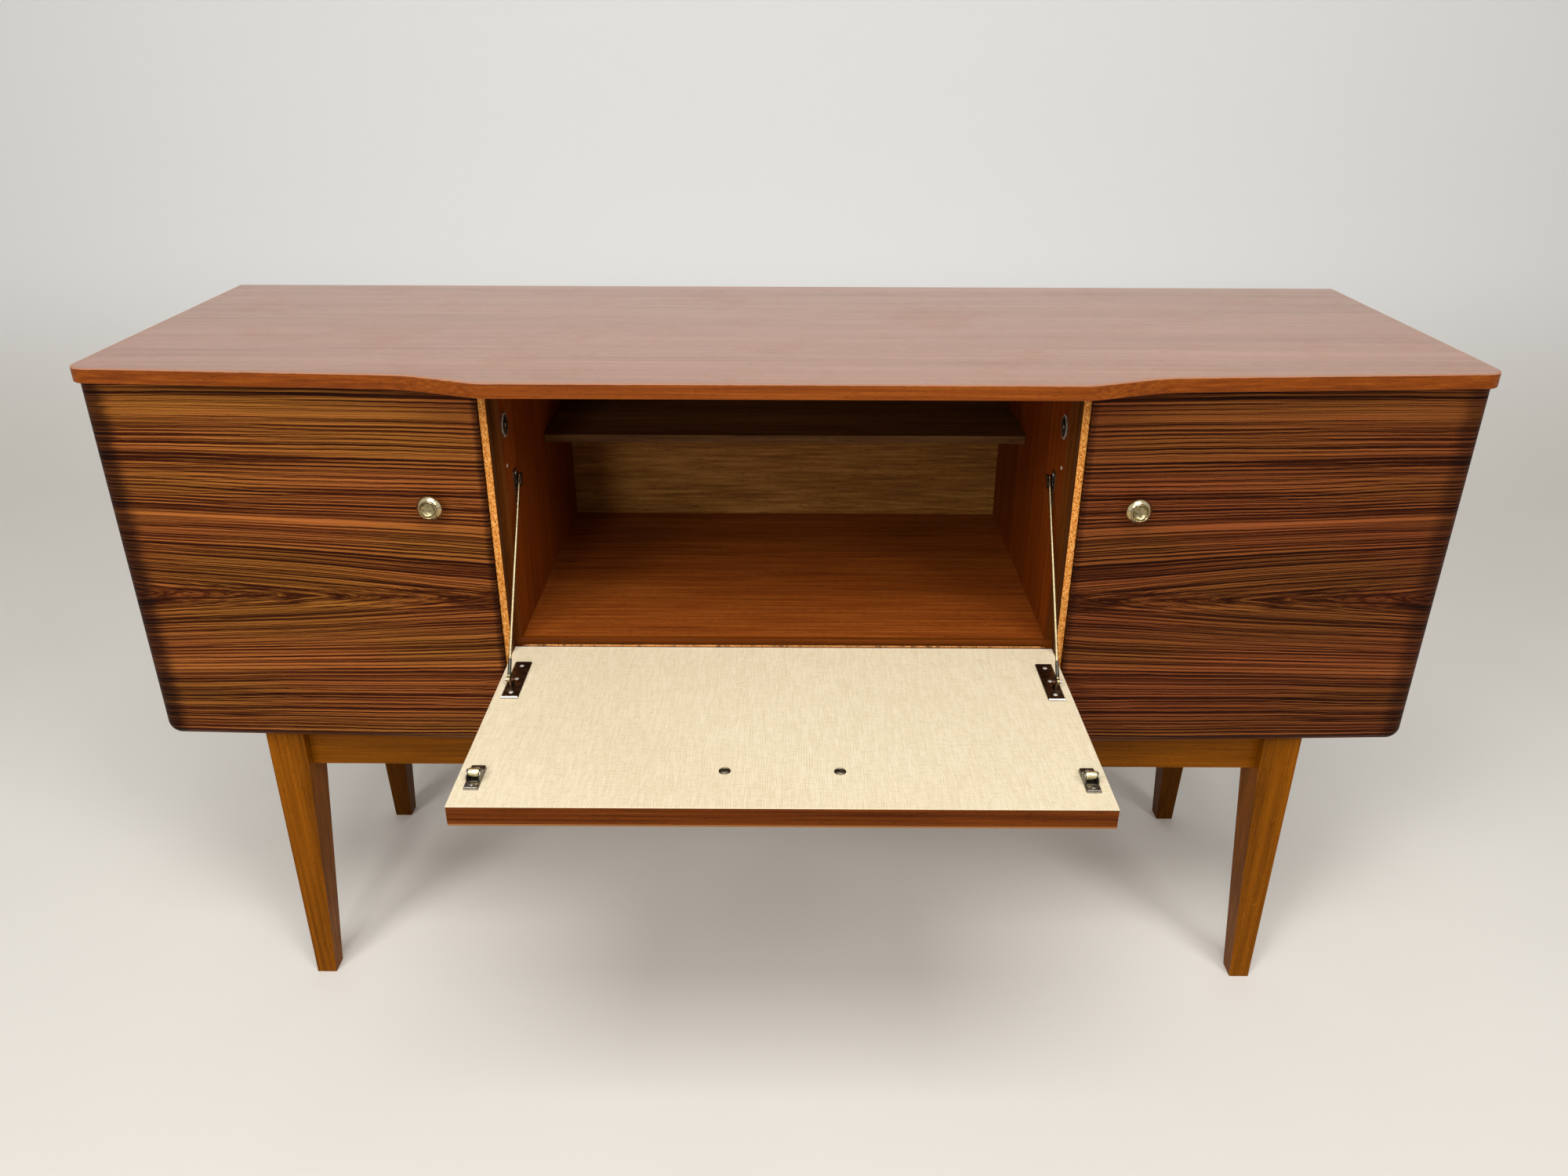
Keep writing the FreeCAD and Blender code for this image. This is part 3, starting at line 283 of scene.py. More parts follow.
def handling_group():
    """Faint scuffs, short scratches and settled dust, as masks."""
    n, given, out = new_group("Handling marks", {"Scuff Scale": 9.0, "Scratch Scale": 30.0},
                              ("Scuff", "Scratch", "Dust"))
    vector = given["Vector"]
    scuff = n.noise(vector, given["Scuff Scale"], detail=5.0, rough=0.68)
    n.feed(out["Scuff"], n.fade(scuff, 0.48, 0.72))
    cells = n.put("ShaderNodeTexVoronoi", {"Vector": n.scaled(vector, (1, 2.6, 1.7), turn=(0.3, 0.5, 0.4)),
                                           "Scale": given["Scratch Scale"]}, feature="DISTANCE_TO_EDGE")
    breaks = n.noise(vector, 60.0)
    line = n.times(n.fade(cells.outputs[0], 0.012, 0.002), n.fade(breaks, 0.56, 0.64))
    n.feed(out["Scratch"], line)
    n.feed(out["Dust"], n.fade(n.noise(vector, 900.0, detail=1.0), 0.70, 0.76))


def mirrored_figure_group():
    """Coordinates of a sliced veneer, book-matched about the middle, with lines that close to a wedge."""
    n, given, out = new_group("Book-matched figure", {
        "Heart Height": HEART_HEIGHT, "Slope": 0.09, "Reach": 0.095, "Inner Edge": 0.27}, ("Vector",), VECTOR)
    x, _, z = n.split(given["Vector"])
    reach = n.size(x)
    height = n.minus(z, given["Heart Height"])
    away = n.maths("SQRT", n.times_plus(height, height, 0.000006))
    near = n.maths("DIVIDE", height, given["Reach"])
    near = n.maths("POWER", 2.71828, n.times(n.times(near, near), -1.0))
    travel = n.times(n.minus(reach, given["Inner Edge"]), given["Slope"])
    across = n.minus(away, n.times(travel, near))
    leaf = n.fade(height, -0.015, 0.015, 0.0, 0.008)
    n.feed(out["Vector"], n.merge(reach, across, leaf))


TURN_TO_X = {"x": (0, 0, 0), "y": (0, 0, -math.pi / 2), "z": (0, math.pi / 2, 0)}


def wooden(nodes, name, along, stops, length=5.0, spacing=260.0, bands=18.0, wander=0.004, band_share=0.35,
           pores=0.5, rough=(0.32, 0.5), coat=0.0, coat_rough=0.15, seed=0.0, marks=0.3, relief=0.15,
           gloss_level=0.09, wear_and_highlight_above=None, front_tone=None):
    """Gives the nodes a wood with straight grain along one axis: fibres, bands, pores, light wear, a sheen, and
    if asked a pale top arris that is wear plus painted highlight.
    """
    n = Finish(name)
    grain = n.group("Wood grain", n.scaled(n.spot, turn=TURN_TO_X[along]), fibre_length=length,
                    fibre_spacing=spacing, band_spacing=bands, wander=wander, seed=seed)
    handling = n.group("Handling marks", n.spot)
    tone = n.plus(n.times(grain["Fibre"], 1 - band_share), n.times(grain["Band"], band_share))
    colour = n.ramp(tone, stops)
    dark = [channel * 0.35 for channel in stops[0][1]]
    colour = n.blend(n.times(grain["Pore"], pores), colour, (*dark, 1))
    pale = [min(1, channel * 1.6 + 0.02) for channel in stops[-1][1]]
    colour = n.blend(n.times(handling["Scratch"], marks * 0.5), colour, (*pale, 1))
    if front_tone:
        colour = n.tint(n.fade(n.split(n.normal)[1], -0.7, -0.9), colour, (*front_tone, 1))
    # A pale ragged line along the top arris: wear, plus a painted highlight of the rounded arris.
    if wear_and_highlight_above:
        height = n.split(n.spot)[2]
        ragged = n.times_plus(n.noise(n.spot, 90.0, detail=3.0), 0.001, height)
        wear_and_highlight = n.fade(ragged, wear_and_highlight_above + 0.0004, wear_and_highlight_above + 0.0012, 0.0, 0.55)
        colour = n.blend(wear_and_highlight, colour, (0.55, 0.30, 0.19, 1))
    gloss = n.fade(tone, 0.35, 0.65, *rough, smooth=False)
    gloss = n.times_plus(handling["Scuff"], marks * 0.25, gloss, clamp=True)
    others = {LEVEL: gloss_level, "Coat Weight": coat, "Coat Roughness": coat_rough}
    height = n.times_plus(grain["Pore"], -0.7, grain["Fibre"])
    finish(nodes, n.done(colour, gloss, others, height, relief, 0.0004))


def striped_figure(n, vector, wood, strength, tint=(1.0, 1.0, 1.0)):
    """The door veneer's colour, tone and relief: long dark lines, some merged to bands, on an orange ground."""
    flow = n.group("Book-matched figure", vector)[0]
    lines = n.group("Wood grain", flow, fibre_length=0.8, fibre_spacing=600.0, band_spacing=62.0, wander=0.016,
                    crinkle=0.0015)
    fine = n.group("Wood grain", flow, fibre_length=1.8, fibre_spacing=1250.0, band_spacing=22.0, wander=0.016,
                   crinkle=0.0018, seed=1.3)
    tone = 0.5
    for value, share in ((lines["Fibre"], 1.3), (fine["Fibre"], 1.9), (lines["Band"], 0.75),
                         (fine["Band"], 0.7), (lines["Line"], 0.22)):
        tone = n.times_plus(n.minus(value, 0.5), share, tone)
    heart = n.size(n.minus(n.split(vector)[2], HEART_HEIGHT))
    calm = n.fade(heart, 0.001, 0.012, 0.45, 1.0)
    tone = n.times_plus(n.minus(tone, 0.47), calm, 0.43)
    tone = n.minus(tone, n.fade(heart, 0.010, 0.070, 0.055, 0.0))
    light = tuple(c * strength * t for c, t in zip(wood.door_light, tint))
    deep = tuple(c * strength for c in wood.door_dark)
    mid = tuple(0.45 * a + 0.55 * b for a, b in zip(light, deep))
    colour = n.ramp(tone, ((0.20, toned(deep, 0.35)), (0.38, deep), (0.51, mid), (0.66, light),
                           (0.90, toned(light, 1.3))))
    glow = n.noise(n.scaled(flow, (3, 14, 14)))
    colour = n.tint(n.fade(glow, 0.36, 0.66), colour, (0.90, 1.10, 0.80, 1))
    colour = n.blend(n.times(fine["Pore"], 0.7), colour, (0.010, 0.004, 0.002, 1))
    return colour, tone, n.times_plus(fine["Pore"], -0.8, fine["Fibre"])


def oiled(n, colour, tone, height):
    """The doors' oiled sheen: nearly matt, a little glossier on the light wood."""
    return n.done(colour, n.fade(tone, 0.3, 0.7, 0.52, 0.38, smooth=False), {LEVEL: 0.045}, height, 0.2, 0.0004)


def striped_veneer(name, wood, strength=1.0, edge_band=0.86, tint=(1.0, 1.0, 1.0)):
    """The striped door veneer, darker along the door's edges (stain, with painted shade added on the outer edge),
    with a plain veneer on the inside.
    """
    n = Finish(name)
    colour, tone, height = striped_figure(n, n.spot, wood, strength, tint)
    if edge_band:
        x, _, z = n.split(n.spot)
        ragged = n.noise(n.scaled(n.spot, (16, 16, 210)), detail=3.0, rough=0.7)
        across = n.size(x)
        outer = DOOR_HIGH.x + 0.008
        # Darker ragged bands: along the inner edge a stain, along the outer edge a stain plus painted shade where
        # the real edge curves away, and darker towards the foot.
        stain_and_edge_shade = n.fade(n.times_plus(ragged, 0.022, across), outer - 0.030, outer - 0.013)
        inner = n.fade(n.times_plus(ragged, 0.007, across), DOOR_LOW.x + 0.0115, DOOR_LOW.x + 0.0055, 0.0, 0.85)
        foot = n.fade(z, DOOR_LOW.z + 0.010, DOOR_LOW.z + 0.001, 0.0, 0.6)
        stain_and_edge_shade = n.most(stain_and_edge_shade, n.most(inner, foot))
        colour = n.tint(n.times(stain_and_edge_shade, edge_band), colour, (0.14, 0.11, 0.16, 1))
    plain = n.group("Wood grain", n.spot, wander=0.01, seed=21.0)["Fibre"]
    plain = n.ramp(plain, ((0.34, (0.09, 0.026, 0.007)), (0.50, (0.18, 0.060, 0.016)),
                           (0.66, (0.27, 0.10, 0.030))))
    colour = n.blend(n.fade(n.split(n.normal)[1], 0.6, 0.8), colour, plain)
    dust = n.times(n.group("Handling marks", n.spot)["Dust"], 0.1)
    colour = n.blend(dust, colour, (0.30, 0.20, 0.12, 1))
    return oiled(n, colour, tone, height)


def flap_veneer(name, wood):
    """The flap's board: striped veneer on its outer face, red-brown edge veneer with a pale line."""
    n = Finish(name)
    x, y, z = n.split(n.spot)
    closed = n.merge(x, z, n.minus(AXIS.z + AXIS.y, y))
    colour, tone, height = striped_figure(n, closed, wood, 0.9)
    grain = n.group("Wood grain", n.spot, fibre_spacing=420.0, band_spacing=80.0, wander=0.006, seed=14.0)
    figure = n.times_plus(grain["Band"], 0.4, n.times(grain["Fibre"], 0.6))
    edge = n.ramp(figure, ((0.36, (0.053, 0.0105, 0.0012)), (0.48, (0.112, 0.024, 0.0022)),
                           (0.58, (0.155, 0.036, 0.0035)), (0.70, (0.23, 0.064, 0.009))))
    edge = n.blend(n.times(grain["Pore"], 0.6), edge, (0.02, 0.006, 0.002, 1))
    line = n.times(n.fade(z, FLAP_LOW.z + 0.0022, FLAP_LOW.z + 0.0016), 0.7)
    edge = n.blend(line, edge, (0.34, 0.15, 0.05, 1))
    outer = n.fade(n.split(n.normal)[2], -0.75, -0.85)
    return oiled(n, n.blend(outer, edge, colour), tone, height)


def chipboard(name, veneered=False):
    """Pressed flakes and glue specks on a sawn front edge, with dark veneer on the sides if wanted."""
    n = Finish(name)
    drift = n.put("ShaderNodeTexNoise", {"Vector": n.spot, "Scale": 500.0, "Detail": 2.0}).outputs["Color"]
    loose = n.put("ShaderNodeVectorMath", {0: drift, 1: (0.0016, 0.0016, 0.0016), 2: n.spot},
                  operation="MULTIPLY_ADD").outputs[0]
    flakes = n.put("ShaderNodeTexVoronoi", {"Vector": n.scaled(loose, (1100, 1100, 760)), "Scale": 1.0})
    shade = n.put("ShaderNodeSeparateColor", {0: flakes.outputs["Color"]}).outputs[0]
    fine = n.noise(n.spot, 1300.0, detail=3.0, rough=0.7)
    tone = n.times_plus(shade, 0.5, n.times(fine, 0.55))
    colour = n.ramp(tone, ((0.22, (0.20, 0.050, 0.005)), (0.38, (0.47, 0.150, 0.019)),
                           (0.58, (0.68, 0.265, 0.046)), (0.82, (0.86, 0.47, 0.15))))
    if veneered:
        upright = n.group("Wood grain", n.scaled(n.spot, turn=TURN_TO_X["z"]), seed=17.0)
        veneer = n.ramp(upright["Fibre"], ((0.36, (0.055, 0.016, 0.004)), (0.64, (0.13, 0.045, 0.010))))
        colour = n.blend(n.fade(n.split(n.normal)[1], -0.35, -0.6), veneer, colour)
    return n.done(colour, 0.62, {LEVEL: 0.08}, tone, 0.5, 0.0005)


def linen_laminate(name, colour):
    """A cream decorative laminate printed and pressed like fine linen."""
    n = Finish(name)
    x, y, _ = n.split(n.spot)
    wobble = n.noise(n.spot, 30.0)
    warp = n.wave(n.times_plus(x, math.tau / THREAD, n.times(wobble, 9.0)))
    breaks = n.fade(n.noise(n.scaled(n.spot, (560, 50, 1))), 0.32, 0.60, 0.55, 1.0)
    weft = n.wave(n.times_plus(y, math.tau / CROSS_THREAD, n.times(wobble, 7.0)))
    gaps = n.fade(n.noise(n.scaled(n.spot, (150, 620, 1))), 0.46, 0.62)
    slub = n.noise(n.scaled(n.spot, (900, 60, 1)), detail=3.0, rough=0.6)
    weave = n.times_plus(n.times(warp, breaks), 0.36, n.times(n.times(weft, gaps), 0.16))
    weave = n.times_plus(slub, 0.34, weave)
    pale = tuple(colour)
    bright = tuple(min(0.93, c * f) for c, f in zip(pale, (1.08, 1.10, 1.18)))
    deep = tuple(c * f for c, f in zip(pale, (0.77, 0.735, 0.64)))
    face = n.ramp(weave, ((0.22, bright), (0.38, pale), (0.60, deep)))
    blotch = n.noise(n.spot, 4.0, detail=4.0, rough=0.6)
    face = n.tint(n.fade(blotch, 0.42, 0.72, 0.0, 0.16), face, (0.80, 0.66, 0.52, 1))
    scratches = n.group("Handling marks", n.spot, scratch_scale=14.0)["Scratch"]
    face = n.blend(n.times(scratches, 0.25), face, (0.45, 0.33, 0.22, 1))
    rear = n.fade(y, FLAP_HIGH.y - 0.0012, FLAP_HIGH.y - 0.0006)
    face = n.blend(n.times(rear, 0.8), face, (0.93, 0.90, 0.80, 1))
    return n.done(face, n.fade(weave, 0.15, 0.6, 0.36, 0.5, smooth=False), {LEVEL: 0.35}, weave, 0.25)


def worn_metal(name, colour, rough=0.25, tarnish=(0.2, 0.14, 0.07), tarnish_share=0.35, metallic=1.0,
               brushed=(300, 300, 300)):
    """A plated or bare metal with fine tool marks, tarnish in patches and tiny pits."""
    n = Finish(name)
    patches = n.noise(n.spot, 160.0, detail=5.0, rough=0.65)
    marks = n.noise(n.scaled(n.spot, brushed), detail=3.0, rough=0.6)
    pits = n.noise(n.spot, 1500.0, detail=1.0)
    old = n.times(n.fade(patches, 0.46, 0.72), tarnish_share)
    old = n.most(old, n.fade(pits, 0.68, 0.74, 0.0, tarnish_share))
    face = n.blend(old, (*colour, 1), (*tarnish, 1))
    face = n.tint(n.fade(marks, 0.35, 0.65, 0.0, 0.25), face, (0.55, 0.52, 0.48, 1))
    dull = n.times_plus(old, 0.45, n.fade(marks, 0.3, 0.7, rough * 0.8, rough * 1.35))
    return n.done(face, dull, {"Metallic": metallic}, n.times_plus(pits, 0.3, marks), 0.08)


def knob_brass(name, colour, foot, normal):
    """Turned brass, bright on its rings, with old polish, random tarnish spots, and painted shade that darkens
    the dish and the ring round the foot.
    """
    n = Finish(name)
    vector = n.scaled(n.spot, offset=tuple(-v for v in foot))
    along = n.put("ShaderNodeVectorMath", {0: vector, 1: tuple(normal)}, operation="DOT_PRODUCT")
    along = along.outputs["Value"]
    length = n.put("ShaderNodeVectorMath", {0: vector}, operation="LENGTH").outputs["Value"]
    square = n.times_plus(length, length, n.times(n.times(along, along), -1.0))
    radius = n.maths("SQRT", n.most(square, 0.0))
    rings = n.noise(n.merge(n.times(radius, 5200.0), along, 0.0))
    spots = n.noise(n.spot, 420.0, detail=4.0, rough=0.7)
    # Painted shade: the dish and the ring round the foot are darkened, broken up by spots. The spots of tarnish
    # added next are the brass's own.
    dish_shade = n.times(n.fade(radius, 0.0084, 0.0072), n.fade(along, 0.0090, 0.0100))
    foot_shade = n.fade(along, 0.0084, 0.0070)
    shade_and_tarnish = n.most(n.times(dish_shade, n.fade(spots, 0.30, 0.64, 0.2, 0.85)), n.times(foot_shade, 0.7))
    shade_and_tarnish = n.most(shade_and_tarnish, n.fade(spots, 0.60, 0.72, 0.0, 0.6))
    face = n.blend(shade_and_tarnish, (*colour, 1), (0.115, 0.085, 0.028, 1))
    face = n.tint(n.fade(rings, 0.35, 0.65, 0.0, 0.3), face, (0.62, 0.58, 0.48, 1))
    dull = n.times_plus(shade_and_tarnish, 0.25, n.fade(rings, 0.3, 0.7, 0.12, 0.2))
    return n.done(face, dull, {"Metallic": 1.0}, n.times_plus(spots, 0.4, rings), 0.12)


def keep_plating(name):
    """Dark plating of the octagonal keep plates, with a painted highlight along the borders of their faces, where
    the plating is also less metallic.
    """
    n = Finish(name)
    low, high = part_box("keep_plates")
    spot, half = (low + high) / 2, (high - low) / 2
    _, y, z = n.split(n.scaled(n.spot, offset=(0, -spot.y, -spot.z)))
    y, z = n.size(y), n.size(z)
    corner = n.times(n.minus(n.plus(y, z), half.y + half.z - 7 * MM), 0.7071)
    edge = n.most(corner, n.most(n.minus(y, half.y), n.minus(z, half.z)))
    spots = n.noise(n.spot, 300.0, detail=4.0, rough=0.65)
    # Painted highlight: a pale band along the borders of the faces, broken up by spots.
    rim_highlight = n.times(n.fade(edge, -0.0017, -0.0009), n.fade(spots, 0.32, 0.5, 0.4, 1.0))
    face = n.ramp(spots, ((0.35, (0.10, 0.095, 0.075)), (0.65, (0.22, 0.215, 0.19))))
    face = n.blend(rim_highlight, face, (0.60, 0.54, 0.46, 1))
    face = n.blend(n.fade(n.split(n.normal)[1], -0.3, -0.8), face, (0.09, 0.075, 0.055, 1))
    dull = n.fade(spots, 0.3, 0.7, 0.24, 0.42)
    return n.done(face, dull, {"Metallic": n.times_plus(rim_highlight, -0.8, 1.0)}, spots, 0.1)


def stay_plating(name, colour):
    """Bronzed plate, with a painted highlight on the bevels that face forwards and up, and dulled on its flats.
    """
    n = Finish(name)
    turned = n.split(n.normal)
    patches = n.noise(n.spot, 140.0, detail=5.0, rough=0.65)
    marks = n.noise(n.spot, 700.0, detail=3.0)
    face = n.ramp(patches, ((0.34, toned(colour, 0.3)), (0.50, toned(colour, 0.8)),
                            (0.66, toned(colour, 1.25))))
    # Painted highlight: pale cream on the bevels that face forwards and up, broken up by tool marks.
    bevel_highlight = n.times(n.fade(turned[1], -0.35, -0.6), n.fade(turned[2], 0.25, 0.5))
    bevel_highlight = n.times(bevel_highlight, n.fade(marks, 0.25, 0.45, 0.6, 1.0))
    face = n.blend(bevel_highlight, face, (0.86, 0.80, 0.66, 1))
    return n.done(face, n.fade(marks, 0.3, 0.7, 0.26, 0.42), {"Metallic": 1.0}, marks, 0.08)


def toned(colour, factor):
    """A colour made lighter or darker."""
    return tuple(min(1, c * factor) for c in colour)


def toned_stops(stops, factor):
    return tuple((place, toned(tone, factor)) for place, tone in stops)


def finish(nodes, material):
    """Gives the material to the CAD nodes named in one line of text."""
    for name in nodes.split():
        slots = NODES[name].data.materials
        slots.clear()
        slots.append(material)


# ---- mesh helpers -----------------------------------------------------------------------------

def spun(profile, steps=48):
    """A turned shape: the profile's (height, radius) pairs in millimetres, spun about +Z."""
    mesh = bmesh.new()
    points = [mesh.verts.new((radius * MM, 0, height * MM)) for height, radius in profile]
    edges = [mesh.edges.new(pair) for pair in zip(points, points[1:])]
    bmesh.ops.spin(mesh, geom=points + edges, cent=(0, 0, 0), axis=(0, 0, 1), angle=math.tau, steps=steps,
                   use_merge=True)
    bmesh.ops.remove_doubles(mesh, verts=mesh.verts[:], dist=1e-7)
    bmesh.ops.recalc_face_normals(mesh, faces=mesh.faces[:])
    return mesh


def mesh_object(name, mesh, material):
    """Makes a smooth object of the mesh and frees the mesh."""
    data = bpy.data.meshes.new(name)
    mesh.to_mesh(data)
    mesh.free()
    data.shade_smooth()
    data.materials.append(material)
    made = bpy.data.objects.new(name, data)
    bpy.context.scene.collection.objects.link(made)
    return made


def piece(name, mesh, material, body, replaced=()):
    """Makes an object of the mesh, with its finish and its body."""
    made = mesh_object(name, mesh, material)
    made.data.set_sharp_from_angle(angle=math.radians(32))
    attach(made, body)
    if replaced:
        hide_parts(*replaced)
    return made


def absorb(target, source, matrix=Matrix()):
    """Adds the source's faces to the target, moved by the matrix, and frees the source."""
    bmesh.ops.transform(source, matrix=matrix, verts=source.verts[:])
    holder = bpy.data.meshes.new("holder")
    source.to_mesh(holder)
    source.free()
    target.from_mesh(holder)
    bpy.data.meshes.remove(holder)


def placed(*parts):
    """One mesh of several, given as pairs of a mesh and a matrix."""
    mesh = bmesh.new()
    for source, matrix in parts:
        absorb(mesh, source, matrix)
    return mesh


def facing(spot, direction, turn=0.0):
    """A matrix that sets a shape made along +Z at the spot, in millimetres, pointing in the direction."""
    aim = Vector(direction).to_track_quat("Z", "Y").to_matrix().to_4x4()
    return Matrix.Translation(Vector(spot) * MM) @ aim @ Matrix.Rotation(math.radians(turn), 4, "Z")


def eased(mesh, edges, width, segments):
    """Bevels the edges by a width in millimetres."""
    bmesh.ops.bevel(mesh, geom=edges, offset=width * MM, segments=segments, profile=0.5, affect="EDGES",
                    material=-1, clamp_overlap=True)
    return mesh


def block(size, spot, bevel, segments, keep_low=False):
    """A block with eased edges: its size and its middle, in millimetres."""
    mesh = bmesh.new()
    scale = Matrix.Diagonal((*(v * MM for v in size), 1.0))
    bmesh.ops.create_cube(mesh, size=1.0, matrix=Matrix.Translation(Vector(spot) * MM) @ scale)
    low = (spot[2] - size[2] / 2) * MM
    edges = [edge for edge in mesh.edges if not (keep_low and all(abs(v.co.z - low) < 1e-6 for v in edge.verts))]
    return eased(mesh, edges, bevel, segments)


def eased_copy(name, width, segments=2):
    """A copy of a CAD node's shape, merged and with its sharp edges eased by a width in millimetres."""
    mesh = bmesh.new()
    mesh.from_mesh(NODES[name].data)
    bmesh.ops.remove_doubles(mesh, verts=mesh.verts[:], dist=2e-6)
    bmesh.ops.dissolve_limit(mesh, angle_limit=math.radians(1.0), verts=mesh.verts[:], edges=mesh.edges[:])
    sharp = [edge for edge in mesh.edges if len(edge.link_faces) == 2
             and edge.calc_face_angle(0.0) > math.radians(35)]
    return eased(mesh, sharp, width, segments)


def button(radius, height, steps=20):
    """A domed rivet or pin head, made along +Z."""
    return spun(((-0.4, 0), (-0.4, radius), (height * 0.15, radius), (height * 0.55, radius * 0.82),
                 (height * 0.88, radius * 0.48), (height, 0)), steps)


def screw_head(radius, height, steps=20):
    """A raised countersunk head with a slot in it."""
    rim = height * 0.25
    mesh = spun(((0, 0), (0, radius), (rim, radius), (height * 0.7, radius * 0.82), (height * 0.94, radius * 0.5),
                 (height, radius * 0.2), (height, 0)), steps)
    half, reach = radius * 0.13 * MM, radius * 0.86 * MM
    for axis in ((1, 0, 0), (0, 1, 0)):
        for offset in (half, -half, reach, -reach):
            geometry = mesh.verts[:] + mesh.edges[:] + mesh.faces[:]
            bmesh.ops.bisect_plane(mesh, geom=geometry, plane_co=Vector(axis) * offset, plane_no=axis, dist=1e-8)
    cut = []
    for face in mesh.faces:
        centre = face.calc_center_median()
        if face.normal.z > 0.2 and centre.z > rim * MM and abs(centre.x) < half and abs(centre.y) < reach:
            cut.append(face)
    sunk = bmesh.ops.extrude_face_region(mesh, geom=cut)["geom"]
    moved = [part for part in sunk if isinstance(part, bmesh.types.BMVert)]
    bmesh.ops.translate(mesh, vec=(0, 0, -height * 0.55 * MM), verts=moved)
    bmesh.ops.delete(mesh, geom=[face for face in cut if face.is_valid], context="FACES_ONLY")
    return mesh


# ---- settings ---------------------------------------------------------------------------------

def colour_setting(name, description, default):
    return bpy.props.FloatVectorProperty(name=name, description=description, default=default, subtype="COLOR",
                                         min=0.0, max=1.0)


def number_setting(name, description, default, low=0.0, **unit):
    return bpy.props.FloatProperty(name=name, description=description, default=default, min=low, **unit)


class SideboardWoodSettings(bpy.types.PropertyGroup):
    top_colour: colour_setting("Top", "Middle tone of the top's veneer", (0.36, 0.155, 0.085))
    door_light: colour_setting("Door ground", "Light stripes of the door veneer", (0.298, 0.087, 0.018))
    door_dark: colour_setting("Door lines", "Dark lines of the door veneer", (0.050, 0.0072, 0.0005))
    leg_colour: colour_setting("Legs", "Middle tone of the legs and rails", (0.19, 0.055, 0.0008))
    lining_colour: colour_setting("Flap lining", "Ground of the linen laminate", (0.83, 0.71, 0.48))


class SideboardMetalSettings(bpy.types.PropertyGroup):
    brass_colour: colour_setting("Brass", "Knobs, hinges and handles", (0.50, 0.42, 0.25))
    bronze_colour: colour_setting("Bronze", "Stay plates and swivels", (0.17, 0.115, 0.075))
    steel_colour: colour_setting("Steel", "Catches and screws", (0.36, 0.33, 0.28))
    roller_colour: colour_setting("Catch rollers", "Brass of the catches' rollers", (0.80, 0.71, 0.42))
    knob_steps: bpy.props.IntProperty(name="Knob steps", description="Facets round a knob", default=96, min=24,
                                      max=256)


class SideboardStageSettings(bpy.types.PropertyGroup):
    floor_colour: colour_setting("Floor", "Colour of the floor", (0.80, 0.765, 0.70))
    wall_colour: colour_setting("Backdrop", "Colour of the backdrop behind the sideboard", BACKDROP)
    floor_half: number_setting("Floor half size", "Half the floor's width", 6.0, 1.0, unit="LENGTH")
    low_power: number_setting("Low lamp", "Power of the low lamp beside the camera", 20.0, unit="POWER")
    left_power: number_setting("Left lamp", "Power of the left soft lamp", 38.0, unit="POWER")
    right_power: number_setting("Right lamp", "Power of the right soft lamp", 30.0, unit="POWER")
    high_power: number_setting("High lamp", "Power of the wide lamp overhead", 72.0, unit="POWER")
    sky: number_setting("Fill", "Strength of the even fill light", 0.14)


# ---- operators --------------------------------------------------------------------------------

